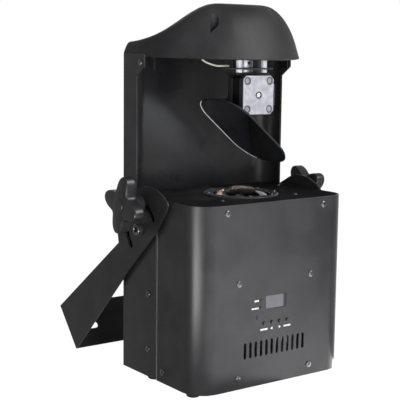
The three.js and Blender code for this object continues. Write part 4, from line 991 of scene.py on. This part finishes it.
class PrintPanel(Dresses):
    """Prints plain marks, adds the lamps and the microphone's dots and softens the buttons"""
    bl_idname = "scanner.print_panel"
    bl_label = "Panel marks"

    def execute(self, context):
        sizes = context.scene.scanner.panel
        depth = sizes.print_depth
        middle_y = COVER_LOW.y - depth / 2
        bm = bmesh.new()
        stroke, gap = 0.0015, 0.0005
        for x, z, count in PANEL_MARKS:
            middle = at(x, 0, z)
            for i in range(count):
                left = middle.x + (i - (count - 1) / 2) * (stroke + gap)
                block(bm, (stroke, depth, sizes.print_height), (left, middle_y, middle.z))
        for button, point in (("button_2", 1), ("button_3", -1)):
            made = bmesh.ops.create_cone(
                bm, cap_ends=True, segments=3, radius1=0.0018, radius2=0.0018, depth=depth)["verts"]
            turn = Matrix.Rotation(pi / 2, 3, "X") @ Matrix.Rotation(pi / 2 * point, 3, "Z")
            bmesh.ops.rotate(bm, verts=made, cent=(0, 0, 0), matrix=turn)
            place = (middle_of(button).x, middle_y, at(0, 0, WORDS_Z).z)
            bmesh.ops.translate(bm, verts=made, vec=place)
        piece("panel_marks", bm, "print_ink", "root")
        # The microphone's holes are not cut: dark discs stand on the panel where they are, as painted shade.
        dot = turned([(0, 0), (0.0009, 0), (0.0009, 0.0002), (0, 0.0002)], 16)
        places = [(at(x, FRONT, z), AHEAD) for x, z in MICROPHONE_DOTS]
        scatter("microphone_hole_shade", dot, places, "lamp_lens")
        lamp = turned([(0, 0), (0.0015, 0), (0.0014, 0.0006), (0.0008, 0.0012), (0, 0.0014)], 20)
        places = [(at(LAMPS_X, FRONT, z), AHEAD) for z in LAMPS_Z]
        scatter("status_lamps", lamp, places, "lamp_lens")
        for node in ("button_1", "button_2", "button_3", "button_4", "display_window"):
            dress(node, 0.00025)
        return {"FINISHED"}


class MakeKnobs(Dresses):
    """Moulds the four-lobed clamp knobs with rounded lobes and a capped bolt"""
    bl_idname = "scanner.make_knobs"
    bl_label = "Knobs"

    def execute(self, context):
        for node, side, lobe in (("knob_left", -1, 15), ("knob_right", 1, 55)):
            bm = bmesh.new()
            knob_grip(bm)
            at_pivot(node, side, bm, side * radians(lobe))
            stand_in(node, bm)
        return {"FINISHED"}


def knob_grip(bm):
    """The grip, its neck and its bolt, along +Z from the outer face of the chassis."""
    lobes, steps, corner_steps = 4, 96, 5
    root_radius, tip_radius, rounding = 0.0178, 0.033, 0.0024
    inner, outer, slimness = 0.0195, 0.033, 1.15
    angles = [pi / 2 * i / corner_steps for i in range(corner_steps + 1)]
    profile = [(inner + rounding * (1 - cos(a)), rounding * (1 - sin(a))) for a in angles]
    profile += [(outer - rounding * (1 - sin(a)), rounding * (1 - cos(a))) for a in angles]
    rings = []
    for height, inset in profile:
        ring = []
        for i in range(steps):
            angle = i * 2 * pi / steps
            swing = (1 + cos(lobes * angle)) / 2
            radius = root_radius + (tip_radius - root_radius) * swing ** slimness - inset
            ring.append(Vector((radius * cos(angle), radius * sin(angle), height)))
        rings.append(ring)
    bmesh.ops.contextual_create(bm, geom=loft(bm, rings, closed=True))
    lathe(bm, [(0, -0.0065), (0.003, -0.0065), (0.003, 0.0053), (0.01, 0.0053), (0.0105, inner + 0.004),
               (0, inner + 0.004)], 40)
    lathe(bm, [(0, outer - 0.002), (0.0075, outer - 0.002), (0.0075, outer + 0.0002),
               (0.0069, outer + 0.0007), (0, outer + 0.0007)], 40)


MOTOR_HALF, MOTOR_SCREW, MOTOR_HEAD = 0.02115, 0.0155, (0.0027, 0.0009)
WELL_RADIUS, WELL_DEPTH = 0.0046, 0.0009
# Width, lift and start of the painted glint band on the mirror's far rim.
GLINT_WIDTH, GLINT_RISE, GLINT_FROM = 0.0007, 0.0001, 0.024


class MakeMirrorHead(Dresses):
    """Builds the steppers, posts, hub and mirror that show under the hood"""
    bl_idname = "scanner.make_mirror_head"
    bl_label = "Mirror head"

    def execute(self, context):
        stepper("tilt_motor", "y", side_free=((-1, 0, 0), (0, 0, 1), (0, 0, -1)))
        stepper("pan_motor", "z")
        for node in ("pan_hub", "pan_disc", "pan_spacer", "stop_post_left", "stop_post_right", "tilt_bracket",
                     "mirror_holder"):
            dress(node, 0.0004)
        dress("mirror", 0.0003, 1, crease=radians(15))
        # Painted glint along the mirror's far rim.
        add_rim_glint("mirror")
        sheath = stand_in("motor_cable", copy_of("motor_cable"), crease=radians(80))
        smooth = sheath.modifiers.new("Round", "SUBSURF")
        smooth.levels = smooth.render_levels = 1
        return {"FINISHED"}


def add_rim_glint(node):
    """A painted glint: a thin pale band lifted off the far rim of the mirror's face, in place of light
    reflected inside the glass.
    """
    bm = copy_of(node)
    face = max((f for f in bm.faces if f.normal.z < 0), key=lambda f: f.calc_area())
    middle, outward = face.calc_center_median(), face.normal.copy()
    bmesh.ops.delete(bm, geom=[f for f in bm.faces if f is not face], context="FACES")
    rim = bmesh.ops.inset_region(
        bm, faces=list(bm.faces), thickness=GLINT_WIDTH, use_boundary=True, use_even_offset=True)["faces"]
    kept = [f for f in rim if f.calc_center_median().y > middle.y + GLINT_FROM]
    bmesh.ops.delete(bm, geom=[f for f in bm.faces if f not in kept], context="FACES")
    lift(bm, list(bm.faces), outward * GLINT_RISE)
    piece(f"{node}_rim_glint", bm, "painted_glint", BODY_OF[node])


def stepper(node, axis, side_free=()):
    """Two cast caps round a slimmer stack, with a screw sunk into each corner of the rear cap."""
    low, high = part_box(node)
    index = "xyz".index(axis)
    half = MOTOR_HALF
    centre = low + Vector((half, half, half))
    centre[index] = 0
    outward = Vector([1 if a == axis else 0 for a in "xyz"]) * (1 if axis == "z" else -1)
    face = high.z if axis == "z" else low.y
    bm = copy_of(node)
    soften(bm, 0.0009, 3)
    shell = loose(bm)
    start, end = motor_cuts(node, axis)
    groove_size, sunk = 0.05, 0.0006
    for way in side_free:
        size = Vector((groove_size, groove_size, groove_size))
        size[index] = end - start
        middle = centre + Vector(way) * (half + groove_size / 2 - sunk)
        middle[index] = (start + end) / 2
        groove = bmesh.new()
        block(groove, size, middle)
        cut(shell, groove)
    places = []
    for first in SIDES:
        for second in SIDES:
            corner = centre.copy()
            corner.x += first * MOTOR_SCREW
            corner[3 - index] += second * MOTOR_SCREW
            corner[index] = face
            well = turned([(0, -WELL_DEPTH), (WELL_RADIUS, -WELL_DEPTH), (WELL_RADIUS, MM), (0, MM)], 28)
            turn = Matrix.Translation(corner) @ aimed(outward)
            bmesh.ops.transform(well, matrix=turn, verts=well.verts)
            cut(shell, well)
            places.append((corner - outward * WELL_DEPTH, outward))
    stand_in(node, absorb(shell), crease=radians(28))
    scatter(f"{node}_screws", screw_head(*MOTOR_HEAD), places, "dull_zinc", BODY_OF[node])
    if axis == "y":
        collar = turned([(0.0028, -0.0002), (0.0042, -0.0002), (0.0042, 0.0004), (0.0038, 0.0007),
                         (0.0031, 0.0007), (0.0028, 0.0004), (0.0028, -0.0002)], 40)
        middle = centre.copy()
        middle[index] = face
        scatter(f"{node}_collar", collar, [(middle, outward)], body=BODY_OF[node])


class MakeOptics(Dresses):
    """Turns the domed objective lens"""
    bl_idname = "scanner.make_optics"
    bl_label = "Lens"

    def execute(self, context):
        low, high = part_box("objective_lens")
        radius, edge, steps = (high.x - low.x) / 2, 0.004, 28
        sag = high.z - low.z - edge
        sphere = (radius * radius + sag * sag) / (2 * sag)
        reaches = [radius * (1 - i / steps) for i in range(steps + 1)]
        dome = [(r, edge + sag - sphere + sqrt(sphere * sphere - r * r)) for r in reaches]
        bm = turned([(0, 0), (radius, 0), *dome], 96)
        shift(bm, (low.x + high.x) / 2, (low.y + high.y) / 2, low.z)
        stand_in("objective_lens", bm)
        return {"FINISHED"}


class MakeRear(Dresses):
    """Softens the sockets, the fuse holder, the fan and the feet, and turns the pivot screws"""
    bl_idname = "scanner.make_rear"
    bl_label = "Rear fittings"

    def execute(self, context):
        for node in ("data_in_socket", "data_out_socket", "power_inlet", "fuse_holder", "fan_frame",
                     "fan_rotor", "foot_front_left", "foot_front_right", "foot_rear_left", "foot_rear_right"):
            dress(node, 0.0003, 1)
        for node, side in (("pivot_screw_left", -1), ("pivot_screw_right", 1)):
            bm = socket_head(0.0065, 0.0065, 0.0032)
            shift(bm, 0, 0, 0.0053)
            lathe(bm, [(0, -0.0055), (0.005, -0.0055), (0.005, -0.0015), (0.003, -0.0015), (0.003, 0),
                       (0.008, 0), (0.008, 0.0027), (0.003, 0.0027), (0.003, 0.0054), (0, 0.0054)], 32)
            at_pivot(node, side, bm)
            stand_in(node, bm, weighted=True)
        return {"FINISHED"}


class SetStudio(Dresses):
    """Lays the pale floor, lights the object softly and sets the camera"""
    bl_idname = "scanner.set_studio"
    bl_label = "Studio"

    def execute(self, context):
        studio = context.scene.scanner.studio
        scene = context.scene
        bearing, pitch, roll = studio.azimuth, studio.pitch, studio.roll
        level = Vector((cos(bearing), sin(bearing), 0))
        back = Vector((sin(bearing) * cos(pitch), -cos(bearing) * cos(pitch), sin(pitch)))
        upright = back.cross(level)
        right = cos(roll) * level + sin(roll) * upright
        up = cos(roll) * upright - sin(roll) * level
        data = bpy.data.cameras.new("Camera")
        data.lens, data.sensor_width = studio.lens, 36.0
        data.clip_start, data.clip_end = 0.05, 30.0
        camera = bpy.data.objects.new("Camera", data)
        turn = Matrix((right, up, back)).transposed().to_4x4()
        camera.matrix_world = Matrix.Translation(studio.camera) @ turn
        scene.collection.objects.link(camera)
        scene.camera = camera
        add_lamp("key", (-0.25, -1.75, 0.4), (0.9, 0.7), studio.key)
        add_lamp("panel", (0.68, -1.36, 0.004), (0.5, 2.74), studio.panel, sheen_only=True,
                 aim=(0.00057, -0.00082, 1))
        add_lamp("glow", (0.58, -1.0, 1.05), (0.7, 0.5), studio.glow, sheen_only=True)
        add_lamp("strip", (-0.78, -0.335, 0.01), (0.85, 0.35), studio.strip, sheen_only=True, aim=(0, 0, 1))
        add_floor(studio.floor)
        add_world()
        scene.view_settings.view_transform = "Standard"
        return {"FINISHED"}


def add_lamp(name, place, size, power, sheen_only=False, aim=None):
    """An area lamp that points at the object unless aimed; one for sheen only lights no paint."""
    data = bpy.data.lights.new(name, "AREA")
    data.shape, data.size, data.size_y, data.energy = "RECTANGLE", *size, power
    lamp = bpy.data.objects.new(name, data)
    lamp.visible_camera, lamp.visible_diffuse = False, not sheen_only
    aim = Vector(aim or Vector((0, MIDDLE_Y, 0.2)) - Vector(place))
    lamp.matrix_world = Matrix.Translation(place) @ aim.to_track_quat("-Z", "Y").to_matrix().to_4x4()
    bpy.context.scene.collection.objects.link(lamp)


def add_floor(colour):
    """Pale where it is seen, with the object's shadow on it."""
    bm = bmesh.new()
    bmesh.ops.create_grid(bm, x_segments=1, y_segments=1, size=6)
    made = Recipe("studio_floor", roughness=0.9, specular=0.0, **{"Base Color": colour})
    glow = made.node("ShaderNodeEmission", {"Color": WHITE, "Strength": 1.1})
    both = made.node("ShaderNodeMixShader", {
        0: made.seen() * 0.9, 1: made.shader.outputs[0], 2: glow.outputs[0]})
    made.feed(made.output.inputs["Surface"], both.outputs[0])
    floor = to_object("floor", bm)
    floor.data.materials.append(made.material)


def add_world():
    """White where it is seen, and dim as light on the object."""
    world = bpy.data.worlds.new("Studio")
    world.use_nodes = True
    made = Nodes(world.node_tree)
    dim, white = [made.node("ShaderNodeBackground", {"Strength": strength, "Color": WHITE})
                  for strength in (0.3, 1.0)]
    both = made.node("ShaderNodeMixShader", {0: made.seen(), 1: dim.outputs[0], 2: white.outputs[0]})
    made.node("ShaderNodeOutputWorld", {"Surface": both.outputs[0]})
    bpy.context.scene.world = world


class ScannerSettings(bpy.types.PropertyGroup):
    """All settings of the scanner light."""
    housing: PointerProperty(type=HousingSettings)
    hood: PointerProperty(type=HoodSettings)
    screws: PointerProperty(type=ScrewSettings)
    panel: PointerProperty(type=PanelSettings)
    studio: PointerProperty(type=StudioSettings)


STEPS = (FinishNodes, SetStudio, MakeHousing, MakeHood, AddScrews, PrintPanel, MakeKnobs, MakeMirrorHead,
         MakeOptics, MakeRear)


class ScannerPanel(bpy.types.Panel):
    """Lists the steps that dress the scanner light."""
    bl_idname = "VIEW3D_PT_scanner"
    bl_label = "LED scanner light"
    bl_space_type = "VIEW_3D"
    bl_region_type = "UI"
    bl_category = "Scanner"

    def draw(self, context):
        for step in STEPS:
            self.layout.operator(step.bl_idname)


CLASSES = (HousingSettings, HoodSettings, ScrewSettings, PanelSettings, StudioSettings, ScannerSettings,
           *STEPS, ScannerPanel)


def register():
    for cls in CLASSES:
        bpy.utils.register_class(cls)
    bpy.types.Scene.scanner = PointerProperty(type=ScannerSettings)


def unregister():
    del bpy.types.Scene.scanner
    for cls in reversed(CLASSES):
        bpy.utils.unregister_class(cls)


def main():
    register()
    for step in STEPS:
        group, name = step.bl_idname.split(".")
        getattr(getattr(bpy.ops, group), name)()


if __name__ == "__main__":
    main()
